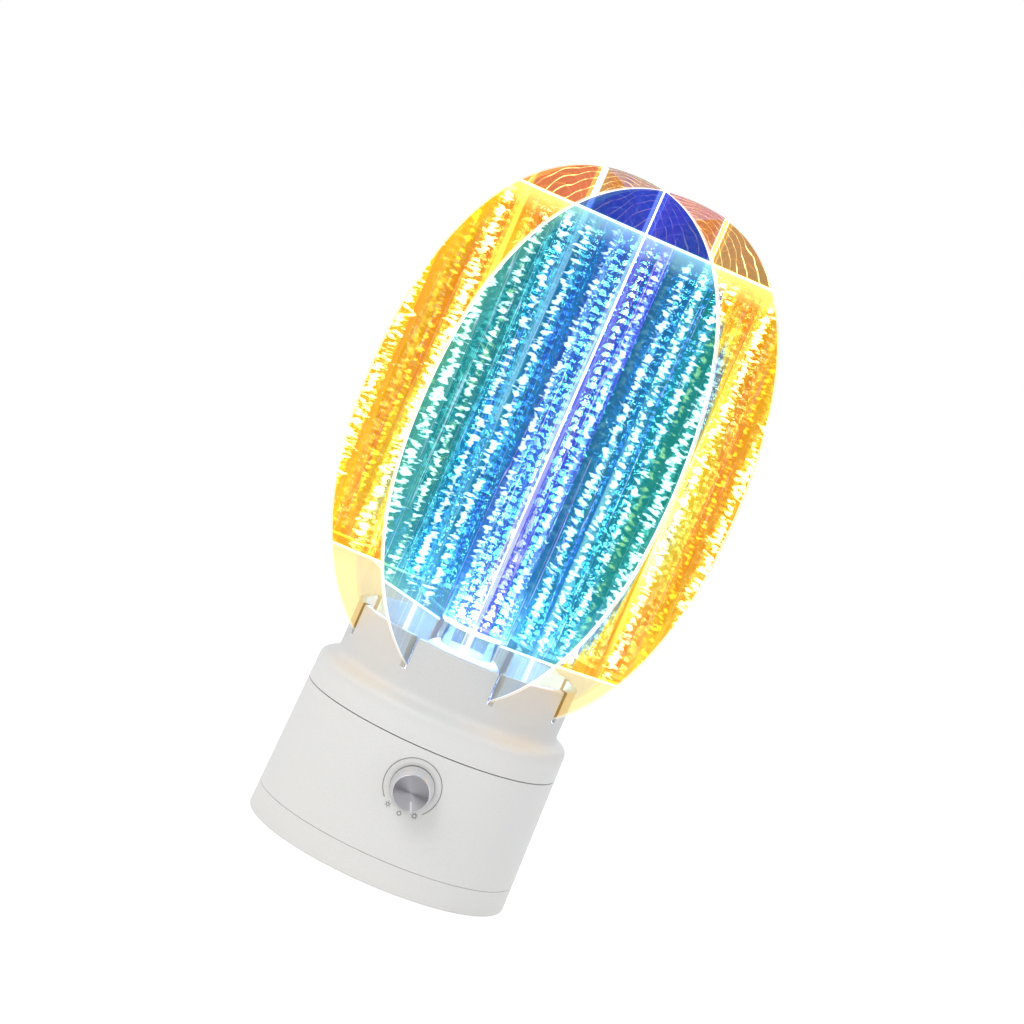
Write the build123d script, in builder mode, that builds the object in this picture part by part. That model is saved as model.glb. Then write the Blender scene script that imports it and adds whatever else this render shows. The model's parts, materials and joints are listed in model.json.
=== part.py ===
"""Night light: a round base with a dimmer knob, and four crossed oval plates round a bubble column.

The origin is on the table under the middle of the base, +Z is up, and the knob faces -Y.
All sizes are in millimetres.
"""
import os
from math import cos, hypot, radians, sin, sqrt, tan

from build123d import *

os.makedirs("parts", exist_ok=True)

# Clearances
fit_gap = 0.15            # between a lip or a disc and the wall that it sits in
shaft_gap = 0.05          # radial, between the turning shaft and its bore
run_gap = 0.35            # between a turning piece and what it passes
screw_gap = 0.2           # radial, round a screw where it passes through a piece
pilot_gap = 0.05          # radial, between a screw's shank and the pilot hole that it bites
slot_gap = 0.15           # each side of a plate in its slot
inlet_gap = 0.3           # round the charging socket in the wall

# Base shells
base_r = 45.0             # outer radius of the base at the table
draft = 1.85              # taper of the outer wall, in degrees
wall = 2.2
floor_t = 2.5
lower_seam_z = 9.0
lower_seam = 0.15         # height of the open seam over the bottom cover
upper_seam_z = 46.6
upper_seam = 0.35
bottom_round = 0.5        # rounding of the lowest outer edge
lip_h = 3.0               # lip of the bottom cover inside the drum
lip_t = 1.4
deck_t = 2.2              # top deck of the drum
deck_drop = 1.6           # the deck lies this far under the upper seam
grommet_hole_r = 5.0
grommet_rim = 1.8
grommet_t = 1.2
spigot_h = 3.4            # ring on the drum that centres the head
spigot_t = 1.5

# Head cover
shoulder_corner_z = 56.1  # where the wall and the sloping shoulder would meet
shoulder_slope = 30.0     # slope of the shoulder, in degrees
shoulder_round = 2.7
neck_r = 38.3
neck_wall = 2.4
rim_z = 76.6
rim_round = 0.6
seat_z = 66.0             # the plates stand at this height
ledge_t = 3.5
ledge_w = 9.9             # width of the ledge that carries the lights
screw_turn = 45.0         # of the head's screws, from those of the light board
head_turn = -4.4          # the head sits turned this much from the dial, in degrees

# Plates
plate_t = 2.0
plate_half = 72.15        # half width of an oval plate
plate_low_z = 57.0        # lowest point of the full oval, which the neck cuts off
plate_top_z = 235.6
bulge_top = 2.33          # exponents of the oval above and below its widest place
bulge_low = 2.06
cell_half = 14.36         # from the axis to the middle of each plate
lap_gap = 0.1             # end clearance of the two halves of a cross-lap joint

# Bubble column
column_r = 11.54
column_z = 80.9
column_top_z = 219.8
column_round = 0.4
stem_r = 9.0              # thinner foot of the column
stem_seat = 1.2           # milky web under the stem
socket_top_z = 73.6
socket_round = 4.0
bubble_r = 1.6            # widest air bubble in the column, a shallow cap
bubble_h = 1.3
bubble_skin = 2.7         # clear rod outside the bubbles
bubble_ends = 2.5         # clear rod under and over them
bubble_pitch = 2.9        # from bubble to bubble up a string
bubble_sway = 0.5         # a bubble stands this far from its string at most
bubble_spread = 20.0      # of a string from its corner of the cell, in degrees

# Light
diffuser_t = 3.0
led_board_t = 1.6
led_size = 5.0
led_h = 1.4
led_ring_in = 5.5         # from the ledge's inner edge to the middle of the ring of light chips
led_ring_count = 12
led_core_r = 4.6
led_core_count = 3

# Screws and their bosses
screw_r = 1.45
screw_head_r = 2.7
screw_head_h = 1.8
small_screw_r = 0.95
small_head_r = 1.8
small_head_h = 1.3
cross_w = 0.6             # driver cross in every screw head
boss_wall = 2.5
boss_bite = 0.8           # a boss on the drum's wall reaches this far into it
head_boss_bite = 2.0      # the same for the head's bosses and the neck's wall
base_screw_l = 9.0
head_screw_l = 9.0
tray_screw_l = 5.8
tray_pilot = 1.2          # the tray screws' pilot holes go this far into the floor
board_screw_l = 5.6
led_screw_l = 4.2
led_screw_in = 1.7        # from the ledge's inner edge to its screws
led_pilot_skin = 0.5      # plastic left over their pilot holes
base_boss_h = 14.0        # bosses of the drum for the bottom cover
cover_seat_t = 4.4        # plastic between a base screw's head and the boss
cover_post_wall = 1.2

# Feet and weight
foot_r = 4.0
foot_t = 1.4
foot_proud = 0.25
weight_t = 4.0
weight_gap = 1.0          # between the weight and the posts round it
weight_boss_r = 3.0
tray_screw_circle = 25.0

# Equipment tray, cell and control board
tray_t = 1.8
cell_r = 9.2
cell_l = 65.0
cell_y = -3.0
cell_round = 0.6
saddle_t = 1.0            # plastic under the cell
saddle_w = 3.0
saddle_side = 2.0
saddle_x = 14.0
saddle_grip = 3.0         # the saddle arms reach this far over the cell's middle
board_t = 1.6
board_w = 32.0
board_hole_x = 13.0
board_post_h = 6.0
board_post_r = 2.4
board_gap = 2.3           # between the cell and the board
board_hole_in = 2.6       # from the board's front edge to its front screws
board_hole_span = 17.0
board_back = 4.4          # from the drum's inner wall to the board's rear edge
board_tongue_w = 12.0     # tongue of the board under the charging socket
board_tongue_gap = 1.2    # between that tongue and the drum's inner wall
plug_w, plug_d, plug_h = 6.0, 4.5, 5.0
plug_pitch = 9.0
plug_in = 8.5             # from the board's front edge to the middle of the lead plugs
part_gap = 4.5            # from the lead plugs to the middle of the row of parts
part_xs = (-9.5, -3.0, 3.2, 9.5)
charge_chip = (5.0, 4.0, 1.5)
driver_chip = (4.0, 4.0, 1.0)
choke = (5.8, 5.8, 3.0)
capacitor_r, capacitor_h = 2.5, 6.5
lead_r = 1.0
lead_drop = 9.0           # straight run of the light's lead under the deck
lead_rise = 8.0           # straight run of a lead over its plug on the board
lead_out = 4.0            # straight run of the cell's lead
lead_lean = 1.0           # the cell's lead leans out by this at its first bend
lead_over = 1.2           # between the cell and the dial's lead

# Charging socket
socket_w = 8.94
socket_h = 3.26
socket_l = 7.35
socket_wall = 0.35
socket_sink = 1.2         # the socket's mouth lies this far inside the outer wall
tongue_w, tongue_t, tongue_l = 6.7, 0.7, 5.6
pocket_w, pocket_h, pocket_d = 12.6, 6.8, 1.0

# Dimmer knob and potentiometer
knob_z = 34.05
knob_base_r = 7.15
knob_face_r = 5.8
knob_reach = 9.4          # from the drum's wall to the knob's face
knob_edge = 0.35
knob_front_t = 1.6
insert_r = 4.8
pointer_angle = 22.0      # of the pointer, from straight down towards +X, in degrees
pointer_w = 0.7
pointer_d = 0.25
pointer_in = 2.6          # where the pointer starts, from the knob's middle
shaft_r = 3.0
shaft_flat = 1.5          # depth of the flat on the shaft
shaft_bite = 6.2          # length of the shaft inside the knob
bushing_r = 3.5
bushing_end = 0.6         # the bushing stands this far out of the nut
pot_r = 8.3
pot_l = 8.0
pot_wall = 0.9
pot_pad_r = 10.5
pot_pad_t = 5.4           # wall thickness where the potentiometer is clamped
pot_pad_skin = 0.3        # the pad's rim stays this far inside the outer wall
nut_recess_r = 6.3
nut_recess_d = 2.5
nut_flats = 10.0
nut_t = 2.0
washer_r = 5.5
washer_t = 0.5
wiper_t = 1.2
track_t = 0.7
switch_w, switch_l, switch_h = 12.0, 7.5, 12.0
pin_w, pin_t, pin_l, pin_pitch = 1.2, 0.6, 4.5, 5.0
tab_half, tab_drop, tab_t = 7.5, 9.5, 2.4

UP = (Align.CENTER, Align.CENTER, Align.MIN)
DOWN = (Align.CENTER, Align.CENTER, Align.MAX)


def outer_r(z):
    """Outer radius of the tapered base at height z."""
    return base_r - z * tan(radians(draft))


def ring_points(radius, count, z, start):
    """Points at equal steps round the axis, the first at start degrees."""
    steps = [radians(start + 360 * k / count) for k in range(count)]
    return [(radius * cos(a), radius * sin(a), z) for a in steps]


def screws(seats, radius, length, head_r, head_h, way):
    """Screws whose heads bear at the seats; way is +1 for a shank that points up, else -1."""
    shank_side, head_side = (UP, DOWN) if way > 0 else (DOWN, UP)
    with BuildPart() as group:
        with Locations(*seats):
            Cylinder(radius, length, align=shank_side)
            Cylinder(head_r, head_h, align=head_side)
        tips = [(x, y, z - way * head_h) for x, y, z in seats]
        with Locations(*tips):
            Box(head_r, cross_w, head_h, mode=Mode.SUBTRACT)
            Box(cross_w, head_r, head_h, mode=Mode.SUBTRACT)
    return group


def bend_radii(points):
    """Radius at each corner: 0.45 of the shorter run over the tangent of half the turn."""
    spots = [Vector(*p) for p in points]
    runs = [b - a for a, b in zip(spots, spots[1:])]
    return [
        0.45 * min(a.length, b.length) / tan(radians(a.get_angle(b) / 2))
        for a, b in zip(runs, runs[1:])
    ]


def lead(name, points):
    """A round two-core lead along straight runs joined by tangent arcs."""
    radii = bend_radii(points)
    print(name, "bend radii", [round(r, 1) for r in radii])
    with BuildPart() as tube:
        with BuildLine() as route:
            FilletPolyline(*points, radius=radii)
        start = Plane(origin=route.line @ 0, z_dir=route.line % 0)
        with BuildSketch(start):
            Circle(lead_r)
        sweep()
    return tube


# Heights and radii that several pieces share
cover_under_z = foot_proud
floor_z = cover_under_z + floor_t
cover_top_z = lower_seam_z - lower_seam / 2
drum_low_z = lower_seam_z + lower_seam / 2
drum_top_z = upper_seam_z - upper_seam / 2
head_low_z = upper_seam_z + upper_seam / 2
deck_z = upper_seam_z - deck_drop
deck_under_z = deck_z - deck_t
lip_out_r = outer_r(lower_seam_z + lip_h) - wall - fit_gap
lip_in_r = lip_out_r - lip_t
boss_r = screw_r + boss_wall
base_circle = outer_r(lower_seam_z + base_boss_h) - wall + boss_bite - boss_r
base_seats = ring_points(base_circle, 4, cover_top_z - cover_seat_t, 45)
cover_post_r = screw_head_r + screw_gap + cover_post_wall

# Bottom cover: a shallow cup with a lip, four posts, the foot recesses and three tray bosses
weight_top_z = floor_z + weight_t
tray_spots = ring_points(tray_screw_circle, 3, 0, 90)
with BuildPart() as bottom_cover:
    with BuildSketch(Plane.XZ) as cup:
        with BuildLine():
            FilletPolyline(
                (0, cover_under_z),
                (outer_r(cover_under_z), cover_under_z),
                (outer_r(cover_top_z), cover_top_z),
                radius=bottom_round,
            )
            Polyline(
                (outer_r(cover_top_z), cover_top_z),
                (lip_out_r, cover_top_z),
                (lip_out_r, cover_top_z + lip_h),
                (lip_in_r, cover_top_z + lip_h),
                (lip_in_r, floor_z),
                (0, floor_z),
                (0, cover_under_z),
            )
        make_face()
    revolve(axis=Axis.Z)
    with Locations(*[(x, y, cover_top_z) for x, y, z in base_seats]):
        Cylinder(boss_r + fit_gap, 2 * lip_h, align=UP, mode=Mode.SUBTRACT)
        Cylinder(cover_post_r, cover_top_z - floor_z, align=DOWN)
    with Locations(*base_seats):
        Cylinder(screw_head_r + screw_gap, lower_seam_z, align=DOWN, mode=Mode.SUBTRACT)
        Cylinder(screw_r + screw_gap, lower_seam_z, align=UP, mode=Mode.SUBTRACT)
    with Locations(*[(x, y, cover_under_z) for x, y, z in base_seats]):
        Cylinder(foot_r + fit_gap, foot_t - foot_proud, align=UP, mode=Mode.SUBTRACT)
    with Locations(*[(x, y, floor_z) for x, y, z in tray_spots]):
        Cylinder(weight_boss_r, weight_t, align=UP)
    with Locations(*[(x, y, weight_top_z) for x, y, z in tray_spots]):
        Cylinder(screw_r + pilot_gap, weight_t + tray_pilot, align=DOWN, mode=Mode.SUBTRACT)
bottom_cover.part.label = "bottom_cover"
export_step(bottom_cover.part, "parts/bottom_cover.step")

# Four round feet that hide the base screws
with BuildPart() as foot_pads:
    with Locations(*[(x, y, 0) for x, y, z in base_seats]):
        Cylinder(foot_r, foot_t, align=UP)
    chamfer(foot_pads.edges().group_by(Axis.Z)[0], foot_proud / 2)
foot_pads.part.label = "foot_pads"
export_step(foot_pads.part, "parts/foot_pads.step")

base_screws = screws(base_seats, screw_r, base_screw_l, screw_head_r, screw_head_h, 1)
base_screws.part.label = "base_screws"
export_step(base_screws.part, "parts/base_screws.step")

# Steel weight on the floor of the bottom cover
weight_r = base_circle - cover_post_r - weight_gap
with BuildPart() as counterweight:
    with Locations((0, 0, floor_z)):
        Cylinder(weight_r, weight_t, align=UP)
    with Locations(*[(x, y, floor_z) for x, y, z in tray_spots]):
        Cylinder(weight_boss_r + screw_gap, weight_t, align=UP, mode=Mode.SUBTRACT)
counterweight.part.label = "counterweight"
export_step(counterweight.part, "parts/counterweight.step")

# Equipment tray: a plate with a cell saddle and four board posts, screwed down over the weight
tray_top_z = weight_top_z + tray_t
cell_z = tray_top_z + saddle_t + cell_r
board_z = tray_top_z + board_post_h
board_top_z = board_z + board_t
board_front_y = cell_y + cell_r + board_gap
board_wall_y = outer_r(board_z) - wall
board_rear_y = board_wall_y - board_back
tongue_rear_y = board_wall_y - board_tongue_gap
post_ys = (board_front_y + board_hole_in, board_front_y + board_hole_in + board_hole_span)
board_spots = [(x, y) for x in (-board_hole_x, board_hole_x) for y in post_ys]
with BuildPart() as equipment_tray:
    with Locations((0, 0, weight_top_z)):
        Cylinder(weight_r, tray_t, align=UP)
    saddle_top_z = cell_z + saddle_grip
    with Locations((-saddle_x, cell_y, tray_top_z), (saddle_x, cell_y, tray_top_z)):
        Box(saddle_w, 2 * (cell_r + saddle_side), saddle_top_z - tray_top_z, align=UP)
    with Locations(Location((0, cell_y, cell_z), (0, 90, 0))):
        Cylinder(cell_r + fit_gap, cell_l, mode=Mode.SUBTRACT)
    with Locations(*[(x, y, tray_top_z) for x, y in board_spots]):
        Cylinder(board_post_r, board_post_h, align=UP)
    with Locations(*[(x, y, board_z) for x, y in board_spots]):
        Cylinder(small_screw_r + pilot_gap, board_screw_l, align=DOWN, mode=Mode.SUBTRACT)
    with Locations(*[(x, y, weight_top_z) for x, y, z in tray_spots]):
        Cylinder(screw_r + screw_gap, tray_t, align=UP, mode=Mode.SUBTRACT)
equipment_tray.part.label = "equipment_tray"
export_step(equipment_tray.part, "parts/equipment_tray.step")

tray_seats = [(x, y, tray_top_z) for x, y, z in tray_spots]
tray_screws = screws(tray_seats, screw_r, tray_screw_l, screw_head_r, screw_head_h, -1)
tray_screws.part.label = "tray_screws"
export_step(tray_screws.part, "parts/tray_screws.step")

# Rechargeable cell, lying along X in the saddle
with BuildPart() as battery_cell:
    with Locations(Location((0, cell_y, cell_z), (0, 90, 0))):
        Cylinder(cell_r, cell_l)
    fillet(battery_cell.edges(), cell_round)
battery_cell.part.label = "battery_cell"
export_step(battery_cell.part, "parts/battery_cell.step")

# Control board on the tray posts
with BuildPart() as control_board:
    with BuildSketch(Plane.XY.offset(board_z)):
        with Locations((0, (board_front_y + board_rear_y) / 2)):
            Rectangle(board_w, board_rear_y - board_front_y)
        with Locations((0, (board_front_y + tongue_rear_y) / 2)):
            Rectangle(board_tongue_w, tongue_rear_y - board_front_y)
        with Locations(*board_spots):
            Circle(small_screw_r + screw_gap, mode=Mode.SUBTRACT)
    extrude(amount=board_t)
control_board.part.label = "control_board"
export_step(control_board.part, "parts/control_board.step")

board_seats = [(x, y, board_top_z) for x, y in board_spots]
board_screws = screws(board_seats, small_screw_r, board_screw_l, small_head_r, small_head_h, -1)
board_screws.part.label = "board_screws"
export_step(board_screws.part, "parts/board_screws.step")

# Lead plugs on the board: light, dial and cell, from -X to +X
plug_y = board_front_y + plug_in
plug_xs = (-plug_pitch, 0, plug_pitch)
plug_top_z = board_top_z + plug_h
with BuildPart() as board_plugs:
    with Locations(*[(x, plug_y, board_top_z) for x in plug_xs]):
        Box(plug_w, plug_d, plug_h, align=UP)
board_plugs.part.label = "board_plugs"
export_step(board_plugs.part, "parts/board_plugs.step")

# Charging chip, driver chip, choke and capacitor on the board, from -X to +X
part_y = plug_y + plug_d / 2 + part_gap
part_spots = [(x, part_y, board_top_z) for x in part_xs]
with BuildPart() as board_parts:
    for spot, size in zip(part_spots, (charge_chip, driver_chip, choke)):
        with Locations(spot):
            Box(*size, align=UP)
    with Locations(part_spots[3]):
        Cylinder(capacitor_r, capacitor_h, align=UP)
board_parts.part.label = "board_parts"
export_step(board_parts.part, "parts/board_parts.step")

# Charging socket on the rear edge of the board, reaching into the drum's wall
inlet_z = board_top_z + socket_h / 2
mouth_y = outer_r(inlet_z) - socket_sink
inlet_plane = Plane(origin=(0, mouth_y, inlet_z), x_dir=(-1, 0, 0), z_dir=(0, 1, 0))
with BuildPart() as usb_socket_shell:
    with BuildSketch(inlet_plane):
        SlotOverall(socket_w, socket_h)
    extrude(amount=-socket_l)
    with BuildSketch(inlet_plane):
        SlotOverall(socket_w - 2 * socket_wall, socket_h - 2 * socket_wall)
    extrude(amount=-(socket_l - socket_wall), mode=Mode.SUBTRACT)
usb_socket_shell.part.label = "usb_socket_shell"
export_step(usb_socket_shell.part, "parts/usb_socket_shell.step")

with BuildPart() as usb_socket_tongue:
    with BuildSketch(inlet_plane.offset(socket_wall - socket_l)):
        Rectangle(tongue_w, tongue_t)
    extrude(amount=tongue_l)
usb_socket_tongue.part.label = "usb_socket_tongue"
export_step(usb_socket_tongue.part, "parts/usb_socket_tongue.step")

# Drum: the tapered wall, its deck, the ring that centres the head, and the bosses
# Each distance named _out runs from the axis of the base towards the front
wall_out = outer_r(knob_z)
pad_out = wall_out - pot_pad_t
pad_edge_out = sqrt((outer_r(knob_z + pot_pad_r) - pot_pad_skin) ** 2 - pot_pad_r**2)
recess_out = wall_out - nut_recess_d
knob_axis = Plane(origin=(0, 0, knob_z), x_dir=(1, 0, 0), z_dir=(0, -1, 0))
spigot_out_r = outer_r(upper_seam_z + spigot_h) - wall - fit_gap
neck_in_r = neck_r - neck_wall
ledge_z = seat_z - diffuser_t
ledge_under_z = ledge_z - ledge_t
ledge_r = neck_in_r - ledge_w
head_circle = neck_in_r - boss_r + head_boss_bite
led_seats = ring_points(ledge_r + led_screw_in, 4, ledge_under_z, head_turn)
head_seats = ring_points(head_circle, 4, deck_under_z, head_turn + screw_turn)
with BuildPart() as drum_shell:
    with BuildSketch(Plane.XZ):
        with BuildLine():
            Polyline(
                (grommet_hole_r, deck_z),
                (grommet_hole_r, deck_under_z),
                (outer_r(deck_under_z) - wall, deck_under_z),
                (outer_r(drum_low_z) - wall, drum_low_z),
                (outer_r(drum_low_z), drum_low_z),
                (outer_r(drum_top_z), drum_top_z),
                (spigot_out_r, drum_top_z),
                (spigot_out_r, drum_top_z + spigot_h),
                (spigot_out_r - spigot_t, drum_top_z + spigot_h),
                (spigot_out_r - spigot_t, deck_z),
                close=True,
            )
        make_face()
    revolve(axis=Axis.Z)
    with Locations(*[(x, y, cover_top_z) for x, y, z in base_seats]):
        Cylinder(boss_r, base_boss_h, align=UP)
        Cylinder(screw_r + pilot_gap, base_screw_l, align=UP, mode=Mode.SUBTRACT)
    with Locations(*head_seats):
        Cylinder(screw_r + screw_gap, deck_t, align=UP, mode=Mode.SUBTRACT)
    with Locations(*[(x, y, deck_z) for x, y, z in head_seats]):
        Cylinder(boss_r + fit_gap, 2 * spigot_h, align=UP, mode=Mode.SUBTRACT)
    with BuildSketch(knob_axis.offset(pad_out)):
        Circle(pot_pad_r)
    extrude(amount=pad_edge_out - pad_out)
    with BuildSketch(knob_axis.offset(pad_out)):
        Circle(bushing_r + fit_gap)
    extrude(amount=pot_pad_t, mode=Mode.SUBTRACT)
    with BuildSketch(knob_axis.offset(recess_out)):
        Circle(nut_recess_r)
    extrude(amount=2 * nut_recess_d, mode=Mode.SUBTRACT)
    with BuildSketch(inlet_plane):
        SlotOverall(socket_w + 2 * inlet_gap, socket_h + 2 * inlet_gap)
    extrude(amount=2 * wall, both=True, mode=Mode.SUBTRACT)
    with BuildSketch(inlet_plane.offset(socket_sink - pocket_d)):
        SlotOverall(pocket_w, pocket_h)
    extrude(amount=2 * pocket_d, mode=Mode.SUBTRACT)
drum_shell.part.label = "drum_shell"
export_step(drum_shell.part, "parts/drum_shell.step")

# Rubber grommet in the deck, round the light's lead
grommet_in_r = lead_r + screw_gap
grommet_out_r = grommet_hole_r + grommet_rim
with BuildPart() as lead_grommet:
    with BuildSketch(Plane.XZ):
        with BuildLine():
            Polyline(
                (grommet_in_r, deck_under_z - grommet_t),
                (grommet_out_r, deck_under_z - grommet_t),
                (grommet_out_r, deck_under_z),
                (grommet_hole_r - shaft_gap, deck_under_z),
                (grommet_hole_r - shaft_gap, deck_z),
                (grommet_out_r, deck_z),
                (grommet_out_r, deck_z + grommet_t),
                (grommet_in_r, deck_z + grommet_t),
                close=True,
            )
        make_face()
    revolve(axis=Axis.Z)
lead_grommet.part.label = "lead_grommet"
export_step(lead_grommet.part, "parts/lead_grommet.step")

# Head cover: tapered skirt, sloping shoulder and neck, with a ledge, bosses and eight slots
corner_r = outer_r(shoulder_corner_z)
rise = tan(radians(shoulder_slope))
neck_foot_z = shoulder_corner_z + (corner_r - neck_r) * rise
inner_drop = wall / cos(radians(shoulder_slope))
skirt_in_r = outer_r(shoulder_corner_z) - wall
skirt_top_z = shoulder_corner_z - inner_drop + (corner_r - skirt_in_r) * rise
neck_under_z = neck_foot_z - inner_drop + (neck_r - neck_in_r) * rise
slope_l = hypot(corner_r - neck_r, neck_foot_z - shoulder_corner_z)
corner_round = min(shoulder_round, 0.45 * slope_l / tan(radians(45 - shoulder_slope / 2)))
with BuildPart() as head_cover:
    with BuildSketch(Plane.XZ):
        with BuildLine():
            FilletPolyline(
                (outer_r(head_low_z), head_low_z),
                (corner_r, shoulder_corner_z),
                (neck_r, neck_foot_z),
                (neck_r, rim_z),
                (neck_in_r, rim_z),
                (neck_in_r, ledge_z),
                radius=(corner_round, corner_round, rim_round, rim_round),
            )
            Polyline(
                (neck_in_r, ledge_z),
                (ledge_r, ledge_z),
                (ledge_r, ledge_under_z),
                (neck_in_r, ledge_under_z),
                (neck_in_r, neck_under_z),
                (skirt_in_r, skirt_top_z),
                (outer_r(head_low_z) - wall, head_low_z),
                (outer_r(head_low_z), head_low_z),
            )
        make_face()
    revolve(axis=Axis.Z)
    with Locations(*[(x, y, deck_z) for x, y, z in head_seats]):
        Cylinder(boss_r, ledge_under_z - deck_z, align=UP)
        Cylinder(screw_r + pilot_gap, head_screw_l, align=UP, mode=Mode.SUBTRACT)
    with Locations(*led_seats):
        Cylinder(small_screw_r + pilot_gap, ledge_t - led_pilot_skin, align=UP, mode=Mode.SUBTRACT)
    with BuildSketch(Plane.XY.offset(seat_z)):
        with PolarLocations(cell_half, 4, head_turn + 45):
            Rectangle(plate_t + 2 * slot_gap, 2 * neck_r)
    extrude(amount=rim_z, mode=Mode.SUBTRACT)
head_cover.part.label = "head_cover"
export_step(head_cover.part, "parts/head_cover.step")

head_screws = screws(head_seats, screw_r, head_screw_l, screw_head_r, screw_head_h, 1)
head_screws.part.label = "head_screws"
export_step(head_screws.part, "parts/head_screws.step")

# Light board under the ledge, with its chips on top and its plug below
led_board_z = ledge_under_z - led_board_t
led_board_r = head_circle - boss_r - run_gap
with BuildPart() as led_board:
    with Locations((0, 0, led_board_z)):
        Cylinder(led_board_r, led_board_t, align=UP)
    with Locations(*[(x, y, led_board_z) for x, y, z in led_seats]):
        Cylinder(small_screw_r + screw_gap, led_board_t, align=UP, mode=Mode.SUBTRACT)
led_board.part.label = "led_board"
export_step(led_board.part, "parts/led_board.step")

with BuildPart() as led_chips:
    with BuildSketch(Plane.XY.offset(ledge_under_z)):
        with PolarLocations(ledge_r - led_ring_in, led_ring_count, head_turn):
            Rectangle(led_size, led_size)
        with PolarLocations(led_core_r, led_core_count, head_turn):
            Rectangle(led_size, led_size)
    extrude(amount=led_h)
led_chips.part.label = "led_chips"
export_step(led_chips.part, "parts/led_chips.step")

board_under_seats = [(x, y, led_board_z) for x, y, z in led_seats]
led_screws = screws(board_under_seats, small_screw_r, led_screw_l, small_head_r, small_head_h, 1)
led_screws.part.label = "led_screws"
export_step(led_screws.part, "parts/led_screws.step")

with BuildPart() as led_plug:
    with Locations((0, 0, led_board_z)):
        Box(plug_w, plug_d, plug_h, align=DOWN)
led_plug.part.label = "led_plug"
export_step(led_plug.part, "parts/led_plug.step")

# Milky disc on the ledge that spreads the light, with a seat for the column's stem
with BuildPart() as light_diffuser:
    with Locations((0, 0, ledge_z)):
        Cylinder(neck_in_r - fit_gap, diffuser_t, align=UP)
    with Locations((0, 0, ledge_z + stem_seat)):
        Cylinder(stem_r + fit_gap, diffuser_t, align=UP, mode=Mode.SUBTRACT)
light_diffuser.part.label = "light_diffuser"
export_step(light_diffuser.part, "parts/light_diffuser.step")

# Domed ring round the stem, between the plates
collar_r = cell_half - plate_t / 2 - 2 * slot_gap
with BuildPart() as column_socket:
    with Locations((0, 0, seat_z)):
        Cylinder(collar_r, socket_top_z - seat_z, align=UP)
    top_edge = column_socket.edges().group_by(Axis.Z)[-1]
    fillet(top_edge, min(socket_round, collar_r - stem_r - fit_gap))
    with Locations((0, 0, seat_z)):
        Cylinder(stem_r + fit_gap, socket_top_z, align=UP, mode=Mode.SUBTRACT)
column_socket.part.label = "column_socket"
export_step(column_socket.part, "parts/column_socket.step")

# Strings of trapped air bubbles, two beside each corner of the cell, in three sizes.
# Sines and steps of uneven length keep them from standing in rows.
bubble_ring_r = column_r - bubble_skin - bubble_r
bubble_rows = int((column_top_z - column_z - 2 * bubble_ends) / bubble_pitch)
bubble_spots = {0.55: [], 0.8: [], 1.0: []}
for string in range(8):
    corner_turn = head_turn + 45 + 90 * (string // 2)
    string_turn = radians(corner_turn + bubble_spread * (1 - 2 * (string % 2)))
    for row in range(bubble_rows):
        count = string * bubble_rows + row
        out = bubble_ring_r + bubble_sway * (sin(2.4 * count) - 1)
        beside = bubble_sway * sin(1.3 * count)
        x = out * cos(string_turn) - beside * sin(string_turn)
        y = out * sin(string_turn) + beside * cos(string_turn)
        z = column_z + bubble_ends + bubble_pitch * (row + 0.618 * count % 1 / 3)
        scale = list(bubble_spots)[5 * count % 7 % 3]
        bubble_spots[scale].append((x, y, z))

# Clear column with its thinner stem
with BuildPart() as bubble_column:
    with Locations((0, 0, column_z)):
        Cylinder(column_r, column_top_z - column_z, align=UP)
    chamfer(bubble_column.edges().filter_by(GeomType.CIRCLE), column_round)
    with Locations((0, 0, ledge_z + stem_seat)):
        Cylinder(stem_r, column_z - ledge_z - stem_seat, align=UP)
    for scale, spots in bubble_spots.items():
        with Locations(*spots):
            Cone(bubble_r * scale, bubble_r * scale / 2, bubble_h * scale, align=UP, mode=Mode.SUBTRACT)
bubble_column.part.label = "bubble_column"
export_step(bubble_column.part, "parts/bubble_column.step")

# Oval plates, halved together where they cross; their flat feet stand on the diffuser
plate_mid_z = (plate_low_z + plate_top_z) / 2
plate_rise = (plate_top_z - plate_low_z) / 2


def oval_point(step):
    """Point of the plate's outline: a superellipse that bulges more above than below."""
    c, s = cos(step), sin(step)
    power = 2 / (bulge_top if s >= 0 else bulge_low)
    along = plate_half * abs(c) ** power * (1 if c >= 0 else -1)
    up = plate_rise * abs(s) ** power * (1 if s >= 0 else -1)
    return (along, plate_mid_z + up)


oval = [oval_point(radians(15 * k)) for k in range(24)]
lap_h = plate_top_z - plate_mid_z + lap_gap
plates = (
    ("front_right_plate", -45, 1),
    ("front_left_plate", -135, -1),
    ("rear_left_plate", 135, 1),
    ("rear_right_plate", 45, -1),
)
for name, azimuth, lap_side in plates:
    angle = radians(azimuth + head_turn)
    facing = Vector(cos(angle), sin(angle), 0)
    sheet = Plane(origin=cell_half * facing, x_dir=(-sin(angle), cos(angle), 0), z_dir=facing)
    lap_z = plate_mid_z + lap_side * (lap_h / 2 - lap_gap)
    with BuildPart() as plate:
        with BuildSketch(sheet):
            with BuildLine():
                Spline(*oval, periodic=True)
            make_face()
            with Locations((0, seat_z)):
                Rectangle(
                    2 * plate_half,
                    plate_rise,
                    align=(Align.CENTER, Align.MAX),
                    mode=Mode.SUBTRACT,
                )
            with Locations((-cell_half, lap_z), (cell_half, lap_z)):
                Rectangle(plate_t + slot_gap, lap_h, mode=Mode.SUBTRACT)
        extrude(amount=plate_t / 2, both=True)
    plate.part.label = name
    export_step(plate.part, f"parts/{name}.step")

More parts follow.
